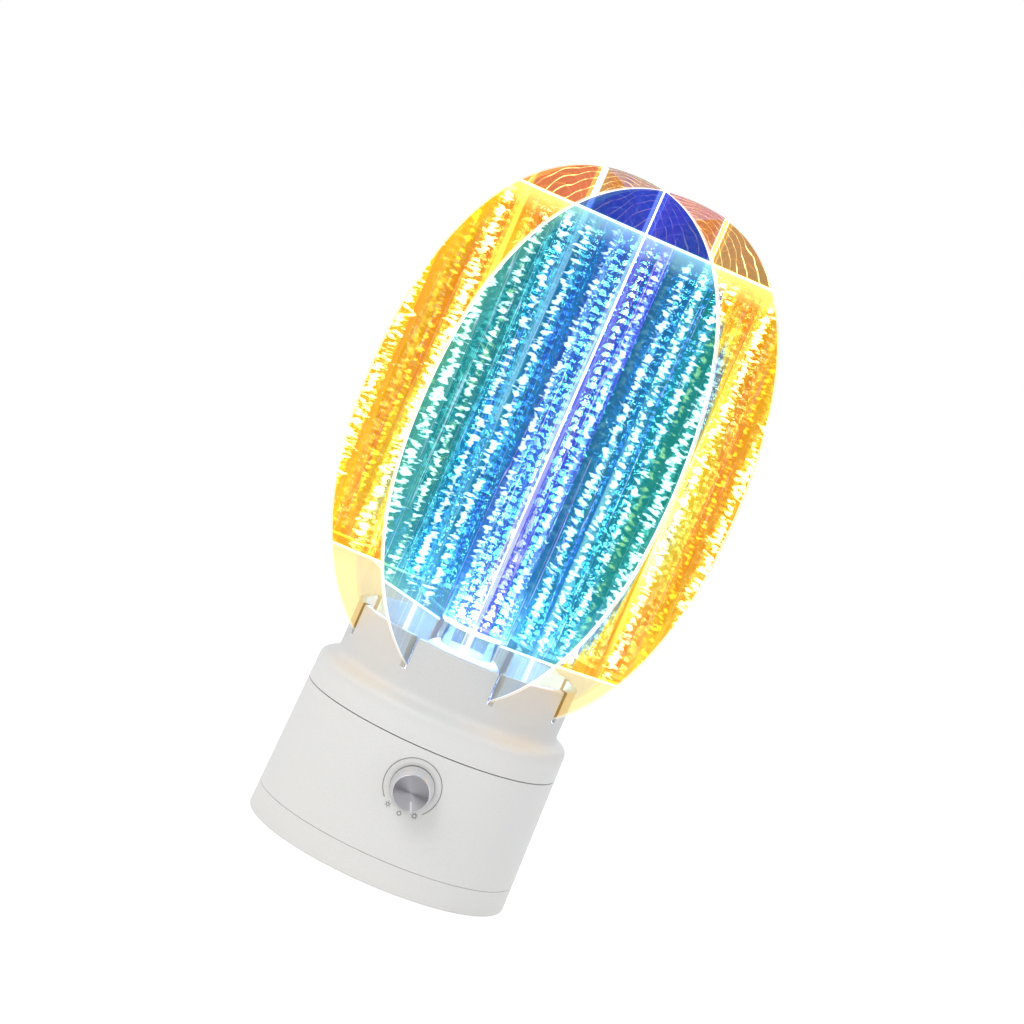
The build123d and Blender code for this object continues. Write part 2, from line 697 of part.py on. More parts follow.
# Potentiometer: a closed can with a terminal tab, clamped behind the front wall
can_face_out = pad_out - pot_wall
can_back_out = pad_out - pot_l
with BuildPart() as pot_body:
    with BuildSketch(knob_axis.offset(can_back_out)):
        Circle(pot_r)
    extrude(amount=pot_l)
    with BuildSketch(knob_axis.offset(pad_out - tab_t)):
        with Locations((0, -tab_drop / 2)):
            Rectangle(2 * tab_half, tab_drop)
    extrude(amount=tab_t)
    with BuildSketch(knob_axis.offset(can_back_out + 2 * pot_wall)):
        Circle(pot_r - pot_wall)
    extrude(amount=pot_l - 3 * pot_wall, mode=Mode.SUBTRACT)
    with BuildSketch(knob_axis.offset(can_face_out - pot_wall)):
        Circle(shaft_r + shaft_gap)
    extrude(amount=3 * pot_wall, mode=Mode.SUBTRACT)
pot_body.part.label = "pot_body"
export_step(pot_body.part, "parts/pot_body.step")

with BuildPart() as pot_track:
    with BuildSketch(knob_axis.offset(can_back_out + 2 * pot_wall)):
        Circle(pot_r - pot_wall - shaft_gap)
        Circle(shaft_r + run_gap, mode=Mode.SUBTRACT)
    extrude(amount=track_t)
pot_track.part.label = "pot_track"
export_step(pot_track.part, "parts/pot_track.step")

with BuildPart() as pot_switch:
    with BuildSketch(knob_axis.offset(can_back_out - switch_l)):
        Rectangle(switch_w, switch_h)
    extrude(amount=switch_l)
pot_switch.part.label = "pot_switch"
export_step(pot_switch.part, "parts/pot_switch.step")

with BuildPart() as pot_terminals:
    with BuildSketch(knob_axis.offset(pad_out - tab_t / 2 - pin_t / 2)):
        with Locations(*[(k * pin_pitch, -tab_drop - pin_l / 2) for k in (-1, 0, 1)]):
            Rectangle(pin_w, pin_l)
    extrude(amount=pin_t)
pot_terminals.part.label = "pot_terminals"
export_step(pot_terminals.part, "parts/pot_terminals.step")

bushing_out = recess_out + washer_t + nut_t + bushing_end
with BuildPart() as pot_bushing:
    with BuildSketch(knob_axis.offset(pad_out)):
        Circle(bushing_r)
        Circle(shaft_r + shaft_gap, mode=Mode.SUBTRACT)
    extrude(amount=bushing_out - pad_out)
pot_bushing.part.label = "pot_bushing"
export_step(pot_bushing.part, "parts/pot_bushing.step")

with BuildPart() as pot_washer:
    with BuildSketch(knob_axis.offset(recess_out)):
        Circle(washer_r)
        Circle(bushing_r + fit_gap, mode=Mode.SUBTRACT)
    extrude(amount=washer_t)
pot_washer.part.label = "pot_washer"
export_step(pot_washer.part, "parts/pot_washer.step")

with BuildPart() as pot_nut:
    with BuildSketch(knob_axis.offset(recess_out + washer_t)):
        RegularPolygon(nut_flats / 2, 6, major_radius=False)
        Circle(bushing_r + pilot_gap, mode=Mode.SUBTRACT)
    extrude(amount=nut_t)
pot_nut.part.label = "pot_nut"
export_step(pot_nut.part, "parts/pot_nut.step")

# Turning pieces: shaft with its wiper, the knob's plastic insert and its metal cap
knob_back_out = wall_out + run_gap
knob_face_out = wall_out + knob_reach
insert_back_out = max(knob_back_out, bushing_out + run_gap)
cap_in_out = knob_face_out - knob_front_t
shaft_back_out = can_back_out + 2 * pot_wall + run_gap
shaft_tip_out = insert_back_out + shaft_bite - run_gap
wiper_out = can_back_out + 2 * pot_wall + track_t + run_gap
with BuildPart() as pot_shaft:
    with BuildSketch(knob_axis.offset(shaft_back_out)):
        Circle(shaft_r)
    extrude(amount=shaft_tip_out - shaft_back_out)
    with BuildSketch(knob_axis.offset(insert_back_out)):
        with Locations((0, shaft_r)):
            Rectangle(2 * shaft_r, 2 * shaft_flat)
    extrude(amount=shaft_tip_out - insert_back_out, mode=Mode.SUBTRACT)
pot_shaft.part.label = "pot_shaft"
export_step(pot_shaft.part, "parts/pot_shaft.step")

with BuildPart() as pot_wiper:
    with BuildSketch(knob_axis.offset(wiper_out)):
        Circle(pot_r - pot_wall - run_gap)
        Circle(shaft_r, mode=Mode.SUBTRACT)
    extrude(amount=wiper_t)
pot_wiper.part.label = "pot_wiper"
export_step(pot_wiper.part, "parts/pot_wiper.step")

with BuildPart() as knob_insert:
    with BuildSketch(knob_axis.offset(insert_back_out)):
        Circle(insert_r)
    extrude(amount=cap_in_out - insert_back_out)
    with BuildSketch(knob_axis.offset(insert_back_out)):
        Circle(shaft_r)
        with Locations((0, shaft_r)):
            Rectangle(2 * shaft_r, 2 * shaft_flat, mode=Mode.SUBTRACT)
    extrude(amount=shaft_tip_out - insert_back_out, mode=Mode.SUBTRACT)
knob_insert.part.label = "knob_insert"
export_step(knob_insert.part, "parts/knob_insert.step")

knob_side = Plane(origin=(0, 0, knob_z), x_dir=(1, 0, 0), z_dir=(0, 0, -1))
pointer_l = knob_face_r - pointer_in
pointer_mid = pointer_in + pointer_l / 2
with BuildPart() as knob_cap:
    with BuildSketch(knob_side):
        with BuildLine():
            FilletPolyline(
                (0, knob_face_out),
                (knob_face_r, knob_face_out),
                (knob_base_r, knob_back_out),
                (insert_r, knob_back_out),
                (insert_r, cap_in_out),
                (0, cap_in_out),
                (0, knob_face_out),
                radius=(0, knob_edge, knob_edge, 0, 0, 0),
            )
        make_face()
    revolve(axis=Axis((0, 0, knob_z), (0, -1, 0)))
    with BuildSketch(knob_axis.offset(knob_face_out)):
        swing = radians(pointer_angle)
        with Locations((pointer_mid * sin(swing), -pointer_mid * cos(swing))):
            Rectangle(pointer_w, pointer_l, rotation=pointer_angle)
    extrude(amount=-pointer_d, mode=Mode.SUBTRACT)
knob_cap.part.label = "knob_cap"
export_step(knob_cap.part, "parts/knob_cap.step")

# Leads inside the base: light, dial and cell, each ending in its plug on the board
led_lead = lead("led_lead", [
    (0, 0, led_board_z - plug_h),
    (0, 0, deck_under_z - lead_drop),
    (plug_xs[0], plug_y, plug_top_z + lead_rise),
    (plug_xs[0], plug_y, plug_top_z),
])
led_lead.part.label = "led_lead"
export_step(led_lead.part, "parts/led_lead.step")

dial_lead_z = cell_z + cell_r + lead_r + lead_over
dial_lead = lead("dial_lead", [
    (0, switch_l - can_back_out, dial_lead_z),
    (0, plug_y, dial_lead_z),
    (0, plug_y, plug_top_z),
])
dial_lead.part.label = "dial_lead"
export_step(dial_lead.part, "parts/dial_lead.step")

cell_end_x = cell_l / 2
battery_lead = lead("battery_lead", [
    (cell_end_x, cell_y, cell_z),
    (cell_end_x + lead_out, cell_y, cell_z),
    (cell_end_x + lead_out + lead_lean, cell_y + 2 * lead_out, cell_z + lead_out / 2),
    (cell_end_x - lead_out / 2, plug_y - lead_out, plug_top_z + lead_rise / 2),
    (plug_xs[2], plug_y, plug_top_z + lead_rise),
    (plug_xs[2], plug_y, plug_top_z),
])
battery_lead.part.label = "battery_lead"
export_step(battery_lead.part, "parts/battery_lead.step")
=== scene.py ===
"""Looks of the night light: coated plates and a bubble column over a moulded base.

Lengths are in millimetres where a name or comment says so, and in metres in Blender.
"""

import json
from math import cos, pi, radians, sin

import bpy
import numpy as np
from mathutils import Matrix, Vector


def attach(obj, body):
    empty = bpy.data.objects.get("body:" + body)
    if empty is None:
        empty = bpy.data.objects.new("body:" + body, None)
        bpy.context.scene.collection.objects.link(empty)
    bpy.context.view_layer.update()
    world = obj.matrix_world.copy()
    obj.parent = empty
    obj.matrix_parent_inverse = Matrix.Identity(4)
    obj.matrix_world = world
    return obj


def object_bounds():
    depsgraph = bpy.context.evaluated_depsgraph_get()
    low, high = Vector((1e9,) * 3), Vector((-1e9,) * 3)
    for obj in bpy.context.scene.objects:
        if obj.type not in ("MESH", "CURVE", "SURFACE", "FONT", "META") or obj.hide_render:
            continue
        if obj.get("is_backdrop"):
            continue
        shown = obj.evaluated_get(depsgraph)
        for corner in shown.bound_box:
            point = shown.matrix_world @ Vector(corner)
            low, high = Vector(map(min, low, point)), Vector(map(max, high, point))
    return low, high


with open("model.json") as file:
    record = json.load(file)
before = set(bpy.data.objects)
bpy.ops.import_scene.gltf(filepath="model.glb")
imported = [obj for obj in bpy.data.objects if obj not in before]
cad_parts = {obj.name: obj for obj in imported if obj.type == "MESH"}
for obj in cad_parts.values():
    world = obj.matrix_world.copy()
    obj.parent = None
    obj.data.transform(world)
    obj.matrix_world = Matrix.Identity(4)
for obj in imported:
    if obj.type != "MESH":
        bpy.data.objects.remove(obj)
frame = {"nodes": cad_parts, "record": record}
cad_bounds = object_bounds()
nodes = frame["nodes"]
MM = 0.001

# Sizes that the looks share with the part: lengths in millimetres, DRAFT in radians and
# HEAD_TURN in degrees
BASE_R = 45.0
DRAFT = radians(1.85)
KNOB_Z = 34.05
KNOB_FACE_Y = -53.2
POINTER_R = 5.75
HEAD_TURN = -4.4
CELL_HALF = 14.36
PLATE_HALF = 1.0
PLATE_TIP_R = 73.6
PLATE_MID_Z = 146.3
PLATE_RISE = 89.3
OVAL_POWER = 2.2
NECK_R = 38.3
NECK_WALL = 2.4
RIM_Z = 76.6
COLUMN_R = 11.54
COLUMN_LOW_Z = 80.9
COLUMN_TOP_Z = 219.8


def linear(code):
    """A colour written as sRGB hex, turned to the linear values that a shader takes."""
    parts = [int(code[k : k + 2], 16) / 255 for k in (1, 3, 5)]
    return (*[p / 12.92 if p <= 0.04045 else ((p + 0.055) / 1.055) ** 2.4 for p in parts], 1.0)


def add(tree, kind, inputs=(), stops=(), **settings):
    """Adds a node with its settings, its colour stops and its inputs.

    inputs gives values to the sockets in use, in their order, or to sockets by name. A value
    is a number, a vector, a colour in hex, a socket, or a node, which is linked from its
    first output in use. A stop is a place on a colour ramp and the colour there.
    """
    made = tree.nodes.new("ShaderNode" + kind)
    for name, value in settings.items():
        setattr(made, name, value)
    points = made.color_ramp.elements if stops else ()
    while len(points) < len(stops):
        points.new(0.5)
    for point, (place, code) in zip(points, stops):
        point.position, point.color = place, linear(code)
    if isinstance(inputs, dict):
        pairs = [(made.inputs[name], value) for name, value in inputs.items()]
    else:
        pairs = zip([socket for socket in made.inputs if socket.enabled], inputs)
    for socket, value in pairs:
        if isinstance(value, bpy.types.Node):
            value = next(output for output in value.outputs if output.enabled)
        if isinstance(value, bpy.types.NodeSocket):
            tree.links.new(value, socket)
        else:
            socket.default_value = linear(value) if isinstance(value, str) else value
    return made


def new_material(name):
    """An empty material and its tree."""
    material = bpy.data.materials.new(name)
    material.use_nodes = True
    material.node_tree.nodes.clear()
    return material, material.node_tree


def only_where(tree, *tests):
    """1 where every test holds, else 0. A test is a comparison, a value and its limit."""
    held = 1.0
    for operation, value, limit in tests:
        met = add(tree, "Math", (value, limit), operation=operation)
        held = add(tree, "Math", (held, met), operation="MULTIPLY")
    return held


def from_axis(tree, place):
    """Distance of a place from the lamp's upright axis."""
    flat = add(tree, "VectorMath", (place, (1, 1, 0)), operation="MULTIPLY")
    return add(tree, "VectorMath", (flat,), operation="LENGTH")


def straight_sight(tree):
    """1 for rays that show the studio itself: from the camera, off gloss or through plastic."""
    rays = add(tree, "LightPath").outputs
    seen = add(tree, "Math", (rays["Is Camera Ray"], rays["Is Glossy Ray"]), operation="MAXIMUM")
    return add(tree, "Math", (seen, rays["Is Transmission Ray"]), operation="MAXIMUM")


# Camera: where the photograph was taken from, leaning by its roll
CAMERA_OUT = 964.8
CAMERA_Z = 216.3
CAMERA_SIDE = radians(2.4)
CAMERA_PITCH = radians(-6.22)
CAMERA_LEAN = radians(23.73)
LENS = 105.5
SENSOR = 36
SHIFT_UP = 0.033

side, pitch, lean = CAMERA_SIDE, CAMERA_PITCH, CAMERA_LEAN
across = Vector((cos(side), -sin(side), 0))
ahead = Vector((cos(pitch) * sin(side), cos(pitch) * cos(side), sin(pitch)))
upward = across.cross(ahead)
place = Vector((-CAMERA_OUT * sin(side), -CAMERA_OUT * cos(side), CAMERA_Z)) * MM
lens = bpy.data.cameras.new("camera")
lens.lens, lens.sensor_width, lens.shift_y = LENS, SENSOR, SHIFT_UP
camera = bpy.data.objects.new("camera", lens)
camera.matrix_world = Matrix.Translation(place) @ Matrix(
    (
        across * cos(lean) + upward * sin(lean),
        -across * sin(lean) + upward * cos(lean),
        -ahead,
    )
).transposed().to_4x4()
bpy.context.collection.objects.link(camera)
scene = bpy.context.scene
scene.camera = camera
scene.view_settings.view_transform = "Standard"

# A camera ray goes through up to eight faces of the plates and between them many times
scene.cycles.max_bounces = 24
scene.cycles.glossy_bounces = 12
scene.cycles.transparent_max_bounces = 48

# World: white where it is seen, a soft grey dome where it lights
world = bpy.data.worlds.new("studio")
scene.world = world
world.use_nodes = True
tree = world.node_tree
tree.nodes.clear()
dome = add(tree, "Background", {"Color": "#F4F6FA", "Strength": 0.72})
white = add(tree, "Background", {"Color": "#FFFFFF", "Strength": 1.0})
both = add(tree, "MixShader", (straight_sight(tree), dome, white))
add(tree, "OutputWorld", {"Surface": both})


def soft_light(name, spot, power, width, colour):
    """A square area light at spot, in metres, that faces the lamp's middle."""
    data = bpy.data.lights.new(name, "AREA")
    data.energy, data.size, data.color = power, width, linear(colour)[:3]
    light = bpy.data.objects.new(name, data)
    light.location = spot
    towards = Vector((0, 0, 0.1)) - light.location
    light.rotation_euler = towards.to_track_quat("-Z", "Y").to_euler()
    bpy.context.collection.objects.link(light)


soft_light("key_light", (-0.9, -1.1, 1.1), 10.5, 0.9, "#FFFCF7")
soft_light("fill_light", (1.3, -0.8, 0.5), 3.0, 1.0, "#F7FAFF")
soft_light("back_light", (0.4, 1.4, 0.9), 5.0, 1.0, "#FFFFFF")


def mesh_of(name, points, faces, material, smooth=True):
    """An object at the origin from arrays of points (metres) and of faces with equal corners."""
    mesh = bpy.data.meshes.new(name)
    points, faces = np.asarray(points, float), np.asarray(faces, int)
    mesh.vertices.add(len(points))
    mesh.vertices.foreach_set("co", points.ravel())
    mesh.loops.add(faces.size)
    mesh.loops.foreach_set("vertex_index", faces.ravel())
    mesh.polygons.add(len(faces))
    mesh.polygons.foreach_set("loop_start", np.arange(len(faces)) * faces.shape[1])
    mesh.polygons.foreach_set("use_smooth", np.full(len(faces), smooth))
    mesh.update(calc_edges=True)
    mesh.validate()
    mesh.materials.append(material)
    made = bpy.data.objects.new(name, mesh)
    bpy.context.collection.objects.link(made)
    return made


# Floor: pale card that keeps a soft shadow
material, tree = new_material("pale_card")
card = add(tree, "BsdfDiffuse", {"Color": "#F2F2F0"})
glow = add(tree, "Emission", {"Color": "#FFFFFF", "Strength": 1.15})
share = add(tree, "Math", (straight_sight(tree), 0.85), operation="MULTIPLY")
both = add(tree, "MixShader", (share, card, glow))
add(tree, "OutputMaterial", {"Surface": both})
corners = [(-3, -3, 0), (3, -3, 0), (3, 3, 0), (-3, 3, 0)]
floor = mesh_of("floor", corners, [(0, 1, 2, 3)], material, smooth=False)
floor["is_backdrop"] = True


# Flag: a grey card just over the floor before the lamp, seen by reflections alone, that
# gives the knob's spun face its dark band. Its lengths are in metres.
FLAG_NEAR = -0.55
FLAG_FAR = -0.1
FLAG_HALF = 0.5
FLAG_Z = 0.0005

material, tree = new_material("grey_flag")
place = add(tree, "TexCoord").outputs["Object"]
out = add(tree, "SeparateXYZ", (place,)).outputs["Y"]
out = add(tree, "MapRange", (out, FLAG_NEAR, FLAG_FAR))
tone = add(
    tree,
    "ValToRGB",
    (out,),
    stops=(
        (0.0, "#FFFFFF"),
        (0.5, "#D8D8DA"),
        (0.66, "#5A5A5E"),
        (0.76, "#5A5A5E"),
        (0.82, "#B0B0B4"),
        (1.0, "#C0C0C4"),
    ),
)
tint = add(tree, "Emission", {"Color": tone})
add(tree, "OutputMaterial", {"Surface": tint})
corners = [
    (-FLAG_HALF, FLAG_NEAR, FLAG_Z),
    (FLAG_HALF, FLAG_NEAR, FLAG_Z),
    (FLAG_HALF, FLAG_FAR, FLAG_Z),
    (-FLAG_HALF, FLAG_FAR, FLAG_Z),
]
flag = mesh_of("flag", corners, [(0, 1, 2, 3)], material, smooth=False)
flag.visible_camera = flag.visible_diffuse = flag.visible_shadow = flag.visible_transmission = False
flag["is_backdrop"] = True


def surface(
    name, light, dark, grain, depth, rough, metallic=0.0, ior=1.5, stretch=(1, 1, 1), fall=None
):
    """A finish with two close colours in grains.

    grain is the grain's size and depth its height, both in millimetres. rough is the
    roughness at the light and the dark grains. A stretch below 1 draws the grains out along
    its axis. fall, if given, is painted shade: a height where the colour starts to deepen,
    one where that ends, and how much is left there.
    """
    material, tree = new_material(name)
    place = add(tree, "TexCoord").outputs["Object"]
    turned = add(tree, "Mapping", {"Vector": place, "Scale": stretch})
    noise = add(
        tree,
        "TexNoise",
        {"Vector": turned, "Scale": 1 / (grain * MM), "Detail": 3.0, "Roughness": 0.55},
    )
    colour = add(tree, "ValToRGB", (noise,), stops=((0.3, dark), (0.7, light)))
    # Painted shade: the colour deepens with height
    if fall:
        height = add(tree, "SeparateXYZ", (place,)).outputs["Z"]
        left = add(tree, "MapRange", (height, fall[0] * MM, fall[1] * MM, 1.0, fall[2]))
        colour = add(tree, "VectorMath", (colour, left), operation="SCALE")
    body = add(
        tree,
        "BsdfPrincipled",
        {
            "Base Color": colour,
            "Roughness": add(tree, "MapRange", (noise, 0.3, 0.7, rough[1], rough[0])),
            "Metallic": metallic,
            "IOR": ior,
            "Normal": add(
                tree, "Bump", {"Height": noise, "Distance": depth * MM, "Strength": 0.6}
            ),
        },
    )
    add(tree, "OutputMaterial", {"Surface": body})
    return material


# Base: injection-moulded ABS from a finely eroded mould, a dry eggshell surface.
# Its real grain, under 0.1 mm, is drawn at 0.45 mm so that it shows.
white_abs = ("#E7E6E4", "#E1E0DD", 0.45, 0.012, (0.46, 0.56))
materials = {
    "base_abs": surface("moulded_white_abs", *white_abs),
    # Head: the same ABS, with painted shade: its colour deepens above the shoulder
    "head_abs_painted_shade": surface("moulded_white_abs_head_painted_shade", *white_abs, fall=(52, 62, 0.88)),
    # Feet: black moulded rubber, dull and slightly dusty
    "foot_rubber": surface("black_rubber", "#3A3A3A", "#2C2C2C", 0.3, 0.03, (0.8, 0.9)),
    # Weight and stamped pot parts: zinc-plated steel with pale crystalline patches
    "zinc_steel": surface(
        "zinc_plated_steel", "#C4C6C8", "#A6A9AD", 1.8, 0.008, (0.3, 0.42), 1.0
    ),
    # Screws: black-oxide steel, drawn wire with marks along it
    "screw_steel": surface(
        "black_oxide_steel", "#6A6A6E", "#4C4C50", 0.5, 0.006, (0.34, 0.45), 1.0, 1.5, (1, 1, 0.3)
    ),
    # Tray: black moulded ABS
    "tray_abs": surface("moulded_black_abs", "#2B2B2D", "#222224", 0.5, 0.015, (0.42, 0.52)),
    # Cell: shrunk PVC wrap, smooth with slight pulls along the cell
    "cell_wrap": surface(
        "shrunk_pvc_wrap", "#2F86C4", "#2575B2", 2.5, 0.02, (0.22, 0.3), 0.0, 1.53, (0.25, 1, 1)
    ),
    # Control board: green solder mask over woven glass laminate
    "board_laminate": surface(
        "solder_mask", "#1E6E3E", "#175C33", 0.7, 0.01, (0.25, 0.34), 0.0, 1.52, (1, 1, 0.4)
    ),
    # Chips and choke: black moulded epoxy, sand-blasted matte
    "chip_resin": surface("moulded_epoxy", "#2A2A2C", "#1E1E20", 0.15, 0.006, (0.55, 0.68)),
    # Plugs: natural nylon, waxy and warm white
    "plug_nylon": surface("natural_nylon", "#EFE9D8", "#E6DFCB", 0.6, 0.01, (0.35, 0.45), 0, 1.53),
    # Leads: soft extruded PVC
    "lead_pvc": surface("extruded_pvc", "#DADAD8", "#CFCFCC", 0.8, 0.01, (0.38, 0.5), 0, 1.53),
    # Charging socket's shell: drawn stainless steel
    "socket_steel": surface(
        *("drawn_stainless_steel", "#C9C9CA", "#B4B5B7", 0.4, 0.004, (0.2, 0.3)),
        *(1.0, 1.5, (1, 0.15, 1)),
    ),
    # Its tongue: black liquid-crystal polymer with flow marks
    "socket_resin": surface("flowed_polymer", "#26262A", "#1B1B1E", 0.5, 0.004, (0.4, 0.5)),
    # Light board: white mask on an aluminium core
    "led_laminate": surface("white_solder_mask", "#F3F3EE", "#E9E9E3", 0.8, 0.006, (0.3, 0.4)),
    # Potentiometer's nut, bushing and shaft: turned brass with nickel plate
    "brass_nickel": surface(
        "nickel_plated_brass", "#D2CDBF", "#BDB7A8", 0.3, 0.004, (0.2, 0.3), 1.0, 1.5, (1, 0.2, 1)
    ),
    # Track, wiper and switch: brown phenolic resin paper
    "pot_resin": surface("phenolic_resin", "#7A5233", "#68442A", 0.4, 0.012, (0.45, 0.6)),
}


def glowing_phosphor():
    """Light chips: cast silicone with yellow phosphor, which glows when lit."""
    material, tree = new_material("lit_phosphor")
    place = add(tree, "TexCoord").outputs["Object"]
    noise = add(tree, "TexNoise", {"Vector": place, "Scale": 1 / (0.3 * MM)})
    colour = add(tree, "ValToRGB", (noise,), stops=((0.3, "#F6E27A"), (0.7, "#FFF3A6")))
    body = add(
        tree,
        "BsdfPrincipled",
        {
            "Base Color": colour,
            "Roughness": 0.35,
            "IOR": 1.41,
            "Emission Color": colour,
            "Emission Strength": 2.0,
        },
    )
    add(tree, "OutputMaterial", {"Surface": body})
    return material


def milky_acrylic():
    """Diffuser and dome: cast opal acrylic with a lavender tint at the rim, and a faint painted
    glow for the light of the board below.
    """
    material, tree = new_material("opal_acrylic_painted_glow")
    place = add(tree, "TexCoord").outputs["Object"]
    cloud = add(tree, "TexNoise", {"Vector": place, "Scale": 1 / (6 * MM)})
    spot = add(tree, "Math", (cloud, 4 * MM, from_axis(tree, place)), operation="MULTIPLY_ADD")
    spot = add(tree, "MapRange", (spot, 4 * MM, 38 * MM))
    colour = add(
        tree, "ValToRGB", (spot,), stops=((0.0, "#D4D0E8"), (0.45, "#C8BEE6"), (1.0, "#B8A8E2"))
    )
    body = add(
        tree,
        "BsdfPrincipled",
        {
            "Base Color": colour,
            "Roughness": 0.28,
            "IOR": 1.49,
            "Emission Color": colour,
            # Painted glow for the board's light
            "Emission Strength": 0.15,
        },
    )
    add(tree, "OutputMaterial", {"Surface": body})
    return material


def bubble_painted_glow(tree, place):
    """Shader of a bubble's skin: a cool white painted glow, for the light that it throws out."""
    noise = add(tree, "TexNoise", {"Vector": place, "Scale": 1 / (3 * MM)})
    colour = add(tree, "ValToRGB", (noise,), stops=((0.35, "#C0F2F8"), (0.6, "#FFFFFF")))
    # Painted glow
    lit = add(tree, "Emission", {"Color": colour, "Strength": 120.0})
    shine = add(tree, "BsdfGlossy", {"Color": "#FFFFFF", "Roughness": 0.05})
    return add(tree, "MixShader", (0.15, lit, shine))


def clear_acrylic():
    """Column: a turned and polished clear acrylic rod, lit through its foot.

    The walls of the air bubbles inside it have a painted glow, cool white, for the light they
    throw out. Both ends are bright rims of painted glow, for the light that leaves the rod at
    its edges. Its streaks are a painted refraction of the plates' colours, across the rod from
    blue on the one side to violet on the other.
    """
    material, tree = new_material("polished_clear_acrylic_painted_light")
    place = add(tree, "TexCoord").outputs["Object"]
    height = add(tree, "SeparateXYZ", (place,)).outputs["Z"]
    # Painted refraction: streaks in the plates' colours, changing across the rod
    long = add(tree, "Mapping", {"Vector": place, "Scale": (1, 1, 0.03)})
    streak = add(tree, "TexNoise", {"Vector": long, "Scale": 1 / (3 * MM), "Detail": 3.0})
    refracted_tint_way = radians(-40)
    lean = (cos(refracted_tint_way), sin(refracted_tint_way), 0)
    lean = add(tree, "VectorMath", (place, lean), operation="DOT_PRODUCT")
    streak = add(tree, "Math", (lean, 0.12 / (COLUMN_R * MM), streak), operation="MULTIPLY_ADD")
    tint = add(
        tree,
        "ValToRGB",
        (streak,),
        stops=(
            (0.34, "#5C90F8"),
            (0.42, "#98DCF8"),
            (0.5, "#F0FBFF"),
            (0.58, "#A0F0F0"),
            (0.66, "#9C80FF"),
        ),
    )
    low, top = COLUMN_LOW_Z, COLUMN_TOP_Z
    stem = add(tree, "MapRange", (height, (low - 0.4) * MM, (low + 0.4) * MM, 1.0, 0.0))
    tint = add(tree, "Mix", (stem, tint, "#E8F6FF"), data_type="RGBA")
    through = add(tree, "BsdfTransparent", {"Color": tint})
    shine = add(tree, "BsdfGlossy", {"Color": "#FFFFFF", "Roughness": 0.03})
    body = add(tree, "MixShader", (add(tree, "Fresnel", {"IOR": 1.49}), through, shine))
    # Painted glow on the rod's lower and upper ends
    under = add(tree, "MapRange", (height, (low + 1.2) * MM, (low + 1.8) * MM, 1, 0))
    above = add(tree, "MapRange", (height, (low - 0.3) * MM, (low - 0.1) * MM))
    rim = add(tree, "Math", (under, above), operation="MULTIPLY")
    upper_rim = add(tree, "MapRange", (height, (top - 1.3) * MM, (top - 0.9) * MM))
    rim = add(tree, "Math", (rim, upper_rim), operation="MAXIMUM")
    share = add(tree, "Math", (rim, 0.6), operation="MULTIPLY")
    lit = add(tree, "Emission", {"Color": "#F6FAFF", "Strength": 10.0})
    out = add(tree, "MixShader", (share, body, lit))
    # Bubble walls, with a painted glow, lie well inside the rod
    air = only_where(
        tree,
        ("LESS_THAN", from_axis(tree, place), (COLUMN_R - 1) * MM),
        ("GREATER_THAN", height, (low + 2) * MM),
        ("LESS_THAN", height, (top - 1) * MM),
    )
    out = add(tree, "MixShader", (air, out, bubble_painted_glow(tree, place)))
    add(tree, "OutputMaterial", {"Surface": out})
    return material


# Rows of painted bubble reflections on each side of the film: a row's distance along the
# plate and its half width, in millimetres, and its weight
BUBBLE_REFLECTION_ROWS = {
    "outer": (
        (27.0, 4.0, 0.1),
        (38.5, 5.0, 0.13),
        (47.5, 5.0, 0.13),
        (57.0, 5.0, 0.12),
        (67.5, 7.0, 0.15),
    ),
    "inner": ((30.0, 4.5, 0.1), (48.0, 6.0, 0.17), (68.0, 7.5, 0.15)),
}
# The sill in front of the column: its least height, and how far along the plate that reaches
RIM_SILL_Z = 85.4
RIM_SILL_RUN = 29.5
# How far along the plate the painted reflection line over the foot starts, on the outer and the
# inner side
FOOT_LINE_RUN = (30.0, 15.0)
# Distance between the crown's curved hairlines of painted reflection
CROWN_LINE_GAP = 4.2


